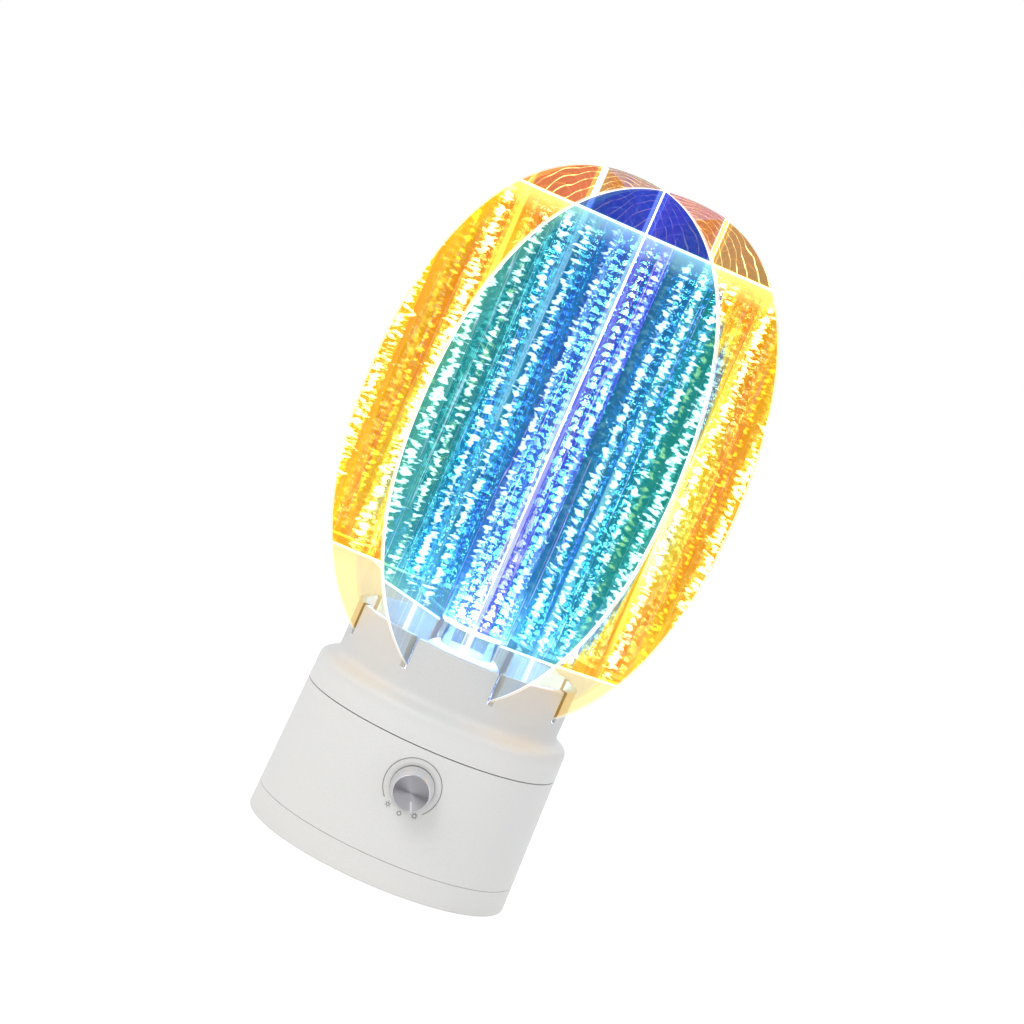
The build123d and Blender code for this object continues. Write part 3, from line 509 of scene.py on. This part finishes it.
def coated_acrylic_painted_light(
    name, facing_deg, crown_tint, crown_glow, hairline_reflection_tint, line_width, near_tint, near_glow, sills
):
    """Two parallel plates: 2 mm acrylic with a colour-shifting mirror film on the outer face.

    The film sends back just under half the light and lets the rest through. Its outer side
    is cool, blue by the cell and teal at the tips. Its inner side, seen through the
    acrylic, is clear by the cell and orange at the tips. These colours are partly the film's
    own and partly painted reflection: set by place on the plate, they stand in for the colours
    that the film's angles and the mirrored images give. Both wander a little with the film's
    thickness. Both have painted light at the foot, pale and nearly clear, up to a sill, where
    the painted images of the mirrored column start: sills holds its height at the axis, in
    millimetres, and its rise along the plate, for the outer side and then the inner. The cut
    edges, polished by the laser, have a painted glow.
    """
    material, tree = new_material(name)
    place = add(tree, "TexCoord").outputs["Object"]
    height = add(tree, "SeparateXYZ", (place,)).outputs["Z"]
    reach = from_axis(tree, place)
    facing = (cos(radians(facing_deg)), sin(radians(facing_deg)), 0)
    along = (-facing[1], facing[0], 0)
    depth = add(tree, "VectorMath", (place, facing), operation="DOT_PRODUCT")
    depth = add(tree, "Math", (depth,), operation="ABSOLUTE")
    run = add(tree, "VectorMath", (place, along), operation="DOT_PRODUCT")
    run = add(tree, "Math", (run,), operation="ABSOLUTE")
    inside = add(tree, "NewGeometry").outputs["Backfacing"]
    outside = add(tree, "Math", (1.0, inside), operation="SUBTRACT")

    # Cut edges, just short of the two faces, with a painted glow, brighter in their outer part
    film_side = add(tree, "Math", (depth, CELL_HALF * MM), operation="GREATER_THAN")
    from_mid = add(tree, "Math", (depth, CELL_HALF * MM), operation="SUBTRACT")
    from_mid = add(tree, "Math", (from_mid,), operation="ABSOLUTE")
    edge = add(tree, "Math", (from_mid, (PLATE_HALF - 0.07) * MM), operation="LESS_THAN")
    part = add(tree, "Math", (depth, (CELL_HALF + 0.45) * MM), operation="GREATER_THAN")
    part = add(tree, "Math", (part, 0.6, 0.4), operation="MULTIPLY_ADD")
    edge = add(tree, "Math", (edge, part), operation="MULTIPLY")

    # Cemented corners: a painted bright line where two plates cross, thick above and thin below
    corner = add(tree, "Math", (run, (CELL_HALF + PLATE_HALF) * MM), operation="SUBTRACT")
    line = add(tree, "MapRange", (height, 138 * MM, 158 * MM, 0.2 * MM, line_width * MM))
    joint = only_where(tree, ("LESS_THAN", corner, line), ("GREATER_THAN", corner, 0.0))

    # Film thickness: slow clouds, 40 mm long upwards and 14 mm wide
    long = add(tree, "Mapping", {"Vector": place, "Scale": (1, 1, 0.35)})
    cloud = add(tree, "TexNoise", {"Vector": long, "Scale": 1 / (14 * MM), "Detail": 2.0})
    wander = add(tree, "Math", (cloud, 0.3, -0.15), operation="MULTIPLY_ADD")
    # and its flow streaks: long upwards, 3 mm wide
    drawn = add(tree, "Mapping", {"Vector": place, "Scale": (1, 1, 0.02)})
    streak = add(tree, "TexNoise", {"Vector": drawn, "Scale": 1 / (3 * MM), "Detail": 2.0})
    waver = add(tree, "Math", (streak, 0.6, -0.3), operation="MULTIPLY_ADD")
    wander = add(tree, "Math", (wander, waver), operation="ADD")
    spread = add(tree, "MapRange", (reach, CELL_HALF * MM, PLATE_TIP_R * MM))
    shade = add(tree, "Math", (spread, wander), operation="ADD")

    # Half width of the oval at this height, by its own formula: |along|^n + |up|^n = 1
    up = add(tree, "Math", (height, PLATE_MID_Z * MM), operation="SUBTRACT")
    up = add(tree, "Math", (up, PLATE_RISE * MM), operation="DIVIDE")
    up = add(tree, "Math", (up,), operation="ABSOLUTE")
    lost = add(tree, "Math", (up, OVAL_POWER), operation="POWER")
    left = add(tree, "Math", (1.0, lost), operation="SUBTRACT")
    left = add(tree, "Math", (left, 0.0), operation="MAXIMUM")
    half = add(tree, "Math", (left, 1 / OVAL_POWER), operation="POWER")
    half = add(tree, "Math", (half, PLATE_TIP_R * MM), operation="MULTIPLY")
    from_rim = add(tree, "Math", (half, reach), operation="SUBTRACT")

    # Painted reflection: the inner side turns warm within a cell's width of the outline
    warm_at = 2 * CELL_HALF * MM
    warm = add(tree, "MapRange", (from_rim, warm_at - 6 * MM, warm_at + 4 * MM, 1.0, 0.0))
    rim_shade = add(tree, "MapRange", (from_rim, 0.0, warm_at, 1.0, 0.55))
    rim_shade = add(tree, "Math", (rim_shade, wander), operation="ADD")
    clear_shade = add(tree, "Math", (shade, 0.8), operation="MULTIPLY")
    inner_shade = add(tree, "Mix", (warm, clear_shade, rim_shade))

    def two_sided(outer_stops, inner_stops):
        """The colour of the side that the light comes to."""
        outer_tint = add(tree, "ValToRGB", (shade,), stops=outer_stops)
        inner_tint = add(tree, "ValToRGB", (inner_shade,), stops=inner_stops)
        return add(tree, "Mix", (inside, outer_tint, inner_tint), data_type="RGBA")

    passed = two_sided(
        (
            (0.0, "#F2F8FF"),
            (0.1, "#D8EEFF"),
            (0.18, near_tint),
            (0.3, "#98C8F0"),
            (0.42, "#90D4EC"),
            (0.62, "#90D8E8"),
            (0.85, "#98E0CC"),
        ),
        (
            (0.0, "#F2F8FF"),
            (0.4, "#E2F2FF"),
            (0.52, "#F8F2C8"),
            (0.6, "#FFD84C"),
            (0.76, "#FFA030"),
            (1.0, "#FFC040"),
        ),
    )
    sent_back = two_sided(
        (
            (0.0, "#D8E0FF"),
            (0.16, "#A0A8FF"),
            (0.34, "#6098E0"),
            (0.6, "#58A8A8"),
            (1.0, "#58A890"),
        ),
        (
            (0.0, "#F6FAFF"),
            (0.34, "#EEF6FF"),
            (0.5, "#FFF2C0"),
            (0.62, "#FFD458"),
            (1.0, "#FFB040"),
        ),
    )
    # The film's painted glow, by side and place
    glow = two_sided(
        (
            (0.0, "#000810"),
            (0.14, near_glow),
            (0.3, "#0058B0"),
            (0.45, "#0078A8"),
            (0.62, "#0094B8"),
            (0.9, "#00A49C"),
        ),
        ((0.0, "#000810"), (0.5, "#302000"), (0.6, "#FFC800"), (0.78, "#FF7800"), (1.0, "#FFAC00")),
    )

    # Painted light: nearly clear and pale below the sill
    (outer_z, outer_rise), (inner_z, inner_rise) = sills
    far = add(tree, "Math", (run, CELL_HALF * MM), operation="MAXIMUM")
    outer_sill = add(tree, "Math", (far, outer_rise, outer_z * MM), operation="MULTIPLY_ADD")
    # In front of the column the sill lies over its bright lower rim
    before = add(tree, "Math", (run, RIM_SILL_RUN * MM), operation="LESS_THAN")
    rim_sill = add(tree, "Math", (before, RIM_SILL_Z * MM), operation="MULTIPLY")
    outer_sill = add(tree, "Math", (outer_sill, rim_sill), operation="MAXIMUM")
    inner_sill = add(tree, "Math", (far, inner_rise, inner_z * MM), operation="MULTIPLY_ADD")
    sill = add(tree, "Mix", (inside, outer_sill, inner_sill))
    over = add(tree, "Math", (height, sill), operation="SUBTRACT")
    foot = add(tree, "MapRange", (over, -0.4 * MM, 0.4 * MM, 0.9, 0.0))
    base_tint = add(tree, "Mix", (inside, "#E2EAFC", "#FFF2C4"), data_type="RGBA")
    deep = add(tree, "Mix", (foot, passed, base_tint), data_type="RGBA")
    # Painted glow: the outer side is sky blue just above the foot, out to the outline
    sky = add(tree, "MapRange", (height, 94 * MM, 124 * MM, 0.7, 0.0))
    past_cell = add(tree, "MapRange", (spread, 0.1, 0.3))
    sky = add(tree, "Math", (sky, past_cell), operation="MULTIPLY")
    sky = add(tree, "Math", (sky, outside), operation="MULTIPLY")
    glow = add(tree, "Mix", (sky, glow, "#28B4F8"), data_type="RGBA")
    # Painted glow at the foot: blue on the outer side and warm yellow on the inner
    wash = add(tree, "Mix", (inside, "#68B4F4", "#F0C048"), data_type="RGBA")
    glow = add(tree, "Mix", (foot, glow, wash), data_type="RGBA")

    # Painted reflections: bright hairlines along the streaks, faint on the inner side
    streak_reflection_stops = ((0.494, "#000000"), (0.5, "#D8C8FF"), (0.506, "#000000"))
    streak_reflection = add(tree, "ValToRGB", (streak,), stops=streak_reflection_stops)
    share = add(tree, "Math", (inside, -1.3, 1.6), operation="MULTIPLY_ADD")
    streak_reflection = add(tree, "VectorMath", (streak_reflection, share), operation="SCALE")
    glow = add(tree, "VectorMath", (glow, streak_reflection), operation="ADD")

    # Painted reflections of the bubbles on the film: dashes 4 mm wide and 1.2 mm high in upright
    # rows
    wide = add(tree, "Mapping", {"Vector": place, "Scale": (0.3, 0.3, 1.0)})
    bubble_reflection_noise = add(tree, "TexNoise", {"Vector": wide, "Scale": 1 / (1.2 * MM), "Detail": 1.0})
    rows = -2.0  # below every row's own value
    for side, hidden in (("outer", inside), ("inner", outside)):
        for row, half_width, weight in BUBBLE_REFLECTION_ROWS[side]:
            off = add(tree, "Math", (run, row * MM), operation="SUBTRACT")
            off = add(tree, "Math", (off,), operation="ABSOLUTE")
            near = add(tree, "MapRange", (off, 0, half_width * MM, weight, -0.3))
            near = add(tree, "Math", (near, hidden), operation="SUBTRACT")
            rows = add(tree, "Math", (rows, near), operation="MAXIMUM")
    level = add(tree, "Math", (bubble_reflection_noise, rows), operation="ADD")
    dash = add(tree, "MapRange", (level, 0.53, 0.7, 0.0, 6.0))
    start = add(tree, "MapRange", (over, 0, 3 * MM))
    dash = add(tree, "Math", (dash, start), operation="MULTIPLY")
    end = add(tree, "MapRange", (height, 214 * MM, 218 * MM, 1.0, 0.0))
    dash = add(tree, "Math", (dash, end), operation="MULTIPLY")
    # Painted reflection of the rod's bright upper end: a haze that ends at a level line
    top = COLUMN_TOP_Z * MM
    haze = add(tree, "MapRange", (height, top - 8 * MM, top, 0.0, 1.2))
    below = add(tree, "Math", (height, top), operation="LESS_THAN")
    haze = add(tree, "Math", (haze, below), operation="MULTIPLY")
    dash = add(tree, "Math", (dash, haze), operation="ADD")
    off = add(tree, "Math", (height, top), operation="SUBTRACT")
    off = add(tree, "Math", (off,), operation="ABSOLUTE")
    top_line = add(tree, "MapRange", (off, 0.3 * MM, 0.5 * MM, 7.0, 0.0))
    dash = add(tree, "Math", (dash, top_line), operation="MAXIMUM")
    # Painted reflection: a line along the sill, out from where the column's own image ends
    off = add(tree, "Math", (over,), operation="ABSOLUTE")
    foot_line = add(tree, "MapRange", (off, 0.25 * MM, 0.45 * MM, 7.0, 0.0))
    line_run = add(tree, "Mix", (inside, FOOT_LINE_RUN[0] * MM, FOOT_LINE_RUN[1] * MM))
    beyond = add(tree, "Math", (run, line_run), operation="GREATER_THAN")
    foot_line = add(tree, "Math", (foot_line, beyond), operation="MULTIPLY")
    dash = add(tree, "Math", (dash, foot_line), operation="MAXIMUM")
    # The painted reflections glow pale cyan on the outer side and pale yellow on the inner
    flash = add(tree, "Mix", (inside, "#C8F0F8", "#FFEC90"), data_type="RGBA")
    flash = add(tree, "VectorMath", (flash, dash), operation="SCALE")
    glow = add(tree, "VectorMath", (glow, flash), operation="ADD")

    # Painted light in the crown, above the column: only the wings' outer sides glow deep blue there
    crown = add(tree, "MapRange", (height, top, top + 1 * MM, 0.0, 0.85))
    cover = add(tree, "Math", (run, CELL_HALF * MM), operation="LESS_THAN")
    cover = add(tree, "Math", (inside, cover), operation="MAXIMUM")
    dusk = add(tree, "Mix", (cover, "#0848FF", crown_glow), data_type="RGBA")
    glow = add(tree, "Mix", (crown, glow, dusk), data_type="RGBA")
    shroud = add(tree, "Mix", (cover, "#6478FF", crown_tint), data_type="RGBA")
    deep = add(tree, "Mix", (crown, deep, shroud), data_type="RGBA")
    # Painted reflections: curved hairlines that follow the outline near the top
    drift = add(tree, "Math", (height, 0.12 / MM), operation="MULTIPLY")
    drift = add(tree, "Math", (cloud, 3.0, drift), operation="MULTIPLY_ADD")
    turn = add(tree, "Math", (from_rim, 1 / (CROWN_LINE_GAP * MM), drift), operation="MULTIPLY_ADD")
    turn = add(tree, "Math", (turn,), operation="FRACT")
    hair_stops = ((0.42, "#000000"), (0.5, hairline_reflection_tint), (0.58, "#000000"))
    hair = add(tree, "ValToRGB", (turn,), stops=hair_stops)
    high = add(tree, "MapRange", (height, 219 * MM, 221 * MM, 0.0, 6.0))
    patch = add(tree, "MapRange", (streak, 0.4, 0.6, 0.2, 1.0))
    high = add(tree, "Math", (high, patch), operation="MULTIPLY")
    share = add(tree, "Math", (cover, 0.88, 0.12), operation="MULTIPLY_ADD")
    high = add(tree, "Math", (high, share), operation="MULTIPLY")
    hair = add(tree, "VectorMath", (hair, high), operation="SCALE")
    glow = add(tree, "VectorMath", (glow, hair), operation="ADD")

    # Painted shade: the see-through colour darkens above the foot, much on the outer side and
    # little on the inner
    held = add(tree, "MapRange", (height, 86 * MM, 104 * MM, 1.0, 0.45))
    least = add(tree, "Math", (inside, 0.85), operation="MULTIPLY")
    held = add(tree, "Math", (held, least), operation="MAXIMUM")
    deep = add(tree, "VectorMath", (deep, held), operation="SCALE")
    # Little light reaches the plates in the neck's slots
    sunk = only_where(
        tree,
        ("LESS_THAN", height, RIM_Z * MM),
        ("LESS_THAN", reach, NECK_R * MM),
        ("GREATER_THAN", reach, (NECK_R - NECK_WALL) * MM),
    )
    deep = add(tree, "Mix", (sunk, deep, "#6C6A6E"), data_type="RGBA")

    # The film: part mirror, part see-through, with a painted glow over both
    mirror = add(tree, "MapRange", (over, -0.4 * MM, 0.4 * MM, 0.06, 0.5))
    dulled = add(tree, "Math", (crown, 0.22), operation="MULTIPLY")
    mirror = add(tree, "Math", (mirror, dulled), operation="SUBTRACT")
    through = add(tree, "BsdfTransparent", {"Color": deep})
    shine = add(tree, "BsdfGlossy", {"Color": sent_back, "Roughness": 0.015})
    film = add(tree, "MixShader", (mirror, through, shine))
    power = add(tree, "MapRange", (height, 78 * MM, 100 * MM, 1.5, 3.0))
    for zone, gain in ((inside, 1.0), (crown, -0.15)):
        gain = add(tree, "Math", (zone, gain, 1.0), operation="MULTIPLY_ADD")
        power = add(tree, "Math", (power, gain), operation="MULTIPLY")
    lit = add(tree, "Emission", {"Color": glow, "Strength": power})
    film = add(tree, "MixShader", (0.12, film, lit))
    bare = add(tree, "BsdfTransparent", {"Color": "#FDFEFF"})
    face = add(tree, "MixShader", (film_side, bare, film))

    # The painted glow of the edges and corners over it
    bright = add(tree, "Math", (joint, 2.0, 1.8), operation="MULTIPLY_ADD")
    rim = add(tree, "Emission", {"Color": "#FFFBF0", "Strength": bright})
    fade = add(tree, "MapRange", (height, 70 * MM, 96 * MM, 0.5, 0.95))
    edge = add(tree, "Math", (edge, fade), operation="MULTIPLY")
    fade = add(tree, "MapRange", (height, 84 * MM, 104 * MM, 0.1, 0.8))
    joint = add(tree, "Math", (joint, fade), operation="MULTIPLY")
    share = add(tree, "Math", (edge, joint), operation="MAXIMUM")
    out = add(tree, "MixShader", (share, face, rim))
    add(tree, "OutputMaterial", {"Surface": out})
    return material


def turned_aluminium():
    """Knob: aluminium turned on a lathe, its face in fine rings, its side polished.

    The rings, 0.05 mm apart on the real knob, are drawn 0.22 mm apart so that they show.
    """
    material, tree = new_material("turned_aluminium")
    place = add(tree, "TexCoord").outputs["Object"]
    local = add(tree, "VectorMath", (place, (0, 0, -KNOB_Z * MM)), operation="ADD")
    out = add(tree, "SeparateXYZ", (local,)).outputs["Y"]
    flat = add(tree, "VectorMath", (local, (1, 0, 1)), operation="MULTIPLY")
    reach = add(tree, "VectorMath", (flat,), operation="LENGTH")
    rings = add(
        tree,
        "TexWave",
        {"Vector": local, "Scale": 1 / (0.22 * MM) / (2 * pi), "Distortion": 0.4, "Detail": 1.0},
        wave_type="RINGS",
        rings_direction="Y",
    ).outputs["Fac"]
    front = add(tree, "Math", (out, KNOB_FACE_Y * MM), operation="LESS_THAN")
    face = add(tree, "ValToRGB", (rings,), stops=((0.0, "#B2B1B6"), (1.0, "#C4C3C8")))
    # The side goes dark where it nears the drum
    shadow = add(tree, "MapRange", (out, -46.0 * MM, -45.1 * MM))
    wall = add(tree, "ValToRGB", (shadow,), stops=((0.0, "#ECECEF"), (1.0, "#5E5D5E")))
    # The pointer is a painted groove, which lies behind the face
    groove = only_where(
        tree,
        ("GREATER_THAN", out, KNOB_FACE_Y * MM),
        ("LESS_THAN", reach, POINTER_R * MM),
    )
    spun = add(tree, "Mix", (groove, face, "#EDEDF0"), data_type="RGBA")
    on_face = add(tree, "Math", (front, groove), operation="MAXIMUM")
    colour = add(tree, "Mix", (on_face, wall, spun), data_type="RGBA")
    whorl = add(
        tree,
        "VectorTransform",
        (flat,),
        vector_type="VECTOR",
        convert_from="OBJECT",
        convert_to="WORLD",
    )
    # The face is spun slightly hollow, with a slope of 0.08 at its rim
    bowl = add(tree, "Math", (reach, MM), operation="DIVIDE")
    bowl = add(tree, "Math", (bowl, 2.0), operation="POWER")
    bowl = add(tree, "Math", (bowl, front), operation="MULTIPLY")
    hollow = add(tree, "Bump", {"Height": bowl, "Distance": 0.007 * MM, "Strength": 1.0})
    bump = add(
        tree,
        "Bump",
        {"Height": rings, "Distance": 0.004 * MM, "Strength": 0.5, "Normal": hollow},
    )
    body = add(
        tree,
        "BsdfPrincipled",
        {
            "Base Color": colour,
            "Metallic": add(tree, "Math", (groove, -0.8, 1.0), operation="MULTIPLY_ADD"),
            "Roughness": add(tree, "MapRange", (front, 0, 1, 0.2, 0.3)),
            "Anisotropic": 0.9,
            "Tangent": whorl,
            "Normal": bump,
        },
    )
    add(tree, "OutputMaterial", {"Surface": body})
    return material


materials["led_phosphor"] = glowing_phosphor()
materials["milky_acrylic"] = milky_acrylic()
materials["clear_acrylic"] = clear_acrylic()
materials["knob_aluminium"] = turned_aluminium()
plate_pairs = {
    "front_right_plate": -45,
    "rear_left_plate": -45,
    "front_left_plate": 45,
    "rear_right_plate": 45,
}
pair_looks = {
    -45: {
        "crown_tint": "#FFB878",
        "crown_glow": "#F07840",
        "hairline_reflection_tint": "#FFC878",
        "line_width": 0.5,
        "near_tint": "#A8DCF4",
        "near_glow": "#1888C8",
        "sills": ((77.1, 0.24), (88.2, 0.073)),
    },
    45: {
        "crown_tint": "#ECCC80",
        "crown_glow": "#A89848",
        "hairline_reflection_tint": "#F4E890",
        "line_width": 0.2,
        "near_tint": "#B0B0F8",
        "near_glow": "#4018E0",
        "sills": ((80.0, 0.142), (77.9, 0.167)),
    },
}
films = {
    turn: coated_acrylic_painted_light(f"coated_acrylic_painted_light_{turn % 360}", turn + HEAD_TURN, **look)
    for turn, look in pair_looks.items()
}
own_looks = {name: films[turn] for name, turn in plate_pairs.items()}
own_looks["head_cover"] = materials["head_abs_painted_shade"]
for entry in frame["record"]["subparts"]:
    name = entry["node"]
    look = own_looks.get(name) or materials[entry["material_slot"]]
    nodes[name].material_slots[0].material = look


def bubbles(name, centres, widths, heights, around, rows, material):
    """Flattened bubbles: each is a sphere of rows x around points, wide and low.

    A point at height angle v and turn u lies at (w cos v cos u, w cos v sin u, h sin v),
    with the rim drawn down by h (cos v) squared, which makes a shallow cap.
    """
    v = np.linspace(-pi / 2, pi / 2, rows + 1)
    u = np.arange(around) * 2 * pi / around
    v_grid, u_grid = np.meshgrid(v[1:-1], u, indexing="ij")
    unit = np.stack(
        [np.cos(v_grid) * np.cos(u_grid), np.cos(v_grid) * np.sin(u_grid), np.sin(v_grid)], -1
    )
    unit = np.concatenate([unit.reshape(-1, 3), [(0, 0, -1), (0, 0, 1)]])
    cap = unit[:, 0] ** 2 + unit[:, 1] ** 2
    size = np.stack([widths, widths, heights], -1)[:, None, :]
    points = unit[None] * size
    points[..., 2] -= heights[:, None] * cap[None] * 0.8
    points += centres[:, None, :]
    ring = np.arange(rows - 2)[:, None] * around
    step = np.arange(around)[None]
    after = (step + 1) % around
    quads = np.stack([ring + step, ring + after, ring + around + after, ring + around + step], -1)
    quads = quads.reshape(-1, 4)
    halves = np.concatenate([quads[:, [0, 1, 2]], quads[:, [0, 2, 3]]])
    south, north = (rows - 1) * around, (rows - 1) * around + 1
    last = (rows - 2) * around
    low_fan = np.stack([np.full(around, south), after[0], step[0]], -1)
    top_fan = np.stack([np.full(around, north), last + step[0], last + after[0]], -1)
    faces = np.concatenate([halves, low_fan, top_fan])
    count = len(unit)
    faces = (faces[None] + (np.arange(len(centres)) * count)[:, None, None]).reshape(-1, 3)
    return mesh_of(name, points.reshape(-1, 3) * MM, faces, material)


def bubble_skin():
    """Fine bubbles: trapped air too small for the rod's own mesh, with a painted glow."""
    material, tree = new_material("bubble_painted_glow")
    place = add(tree, "TexCoord").outputs["Object"]
    add(tree, "OutputMaterial", {"Surface": bubble_painted_glow(tree, place)})
    return material


# Fine bubbles, with a painted glow, glitter between the strings of large ones
random = np.random.default_rng(7)
count = 1600
turn = random.uniform(0, 2 * pi, count)
out = np.sqrt(random.uniform(0, 1, count)) * (COLUMN_R - 1.2)
height = random.uniform(COLUMN_LOW_Z + 1, COLUMN_TOP_Z - 1, count)
fine_spots = np.stack([out * np.cos(turn), out * np.sin(turn), height], -1)
sizes = random.uniform(0.1, 0.4, count)
fine = bubbles("fine_bubbles", fine_spots, sizes, np.minimum(sizes, 0.17), 8, 4, bubble_skin())
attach(fine, "lamp")


def print_ink():
    """Dial print: matte grey pad-printing ink, a thin raised film."""
    return surface("grey_printing_ink", "#94948E", "#86867F", 0.2, 0.003, (0.5, 0.6))


# How far the print stands out from the drum's wall, in millimetres
PRINT_PROUD = 0.03


def printed_line(path, width, closed):
    """Points and faces of a printed line on the tapered drum.

    path holds (right, up) points round the knob's axis, in millimetres. A flat box section,
    width wide, is carried along it: its corners lie half a width to each side, and just
    under and just over the wall, whose radius falls with height.
    """
    path = np.asarray(path, float)
    way = np.roll(path, -1, 0) - np.roll(path, 1, 0)
    if not closed:
        way[0], way[-1] = path[1] - path[0], path[-1] - path[-2]
    way /= np.linalg.norm(way, axis=1)[:, None]
    beside = np.stack([-way[:, 1], way[:, 0]], -1) * width / 2
    flat = np.stack([path - beside, path + beside, path + beside, path - beside], 1)
    lift = np.array([-PRINT_PROUD, -PRINT_PROUD, PRINT_PROUD, PRINT_PROUD])[None, :]
    x, up = flat[..., 0], KNOB_Z + flat[..., 1]
    radius = BASE_R - up * np.tan(DRAFT) + lift
    points = np.stack([x, -np.sqrt(radius**2 - x**2), up], -1).reshape(-1, 3)
    n = len(path)
    here = np.arange(n if closed else n - 1)[:, None] * 4
    there = (here + 4) % (4 * n)
    corner = np.arange(4)[None]
    beyond = (corner + 1) % 4
    faces = np.stack([here + corner, here + beyond, there + beyond, there + corner], -1)
    faces = faces.reshape(-1, 4)
    if not closed:
        faces = np.concatenate([faces, [(3, 2, 1, 0)], [4 * (n - 1) + np.arange(4)]])
    return points, faces


def turn_points(radius, start, end, count):
    """(right, up) points on a circle; angles are in degrees from straight down to the right."""
    angle = np.radians(np.linspace(start, end, count))
    return np.stack([radius * np.sin(angle), -radius * np.cos(angle)], -1)


def sun(turn, out, ring, line, first, last, rays):
    """Lines of a sun mark: a ring with short rays round it, out from the knob's axis at turn."""
    middle = turn_points(out, turn, turn, 1)
    round_it = turn_points(ring, 0, 360, 25)[:-1]
    marks = [(middle + round_it, line, True)]
    for k in range(rays):
        way = turn_points(1.0, 360 * k / rays, 360 * k / rays, 1)
        marks.append((np.concatenate([middle + way * first, middle + way * last]), line, False))
    return marks


# Dial: an arc round the knob, open below, and the marks low, off and full in the gap
marks = [(turn_points(9.25, 42.8, 312.6, 121), 0.3, False)]
marks += sun(-32.0, 9.3, 0.46, 0.26, 0.74, 1.04, 6)
marks += [(turn_points(9.2, -3.5, -3.5, 1) + turn_points(0.62, 0, 360, 25)[:-1], 0.28, True)]
marks += sun(27.3, 9.15, 0.56, 0.28, 0.82, 1.14, 8)
all_points, all_faces, start = [], [], 0
for path, width, closed in marks:
    points, faces = printed_line(path, width, closed)
    all_points.append(points)
    all_faces.append(faces + start)
    start += len(points)
all_points, all_faces = np.concatenate(all_points) * MM, np.concatenate(all_faces)
dial = mesh_of("dial_print", all_points, all_faces, print_ink(), smooth=False)
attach(dial, "lamp")

sizes = {"cad": [list(c) for c in cad_bounds], "visual": [list(c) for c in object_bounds()]}
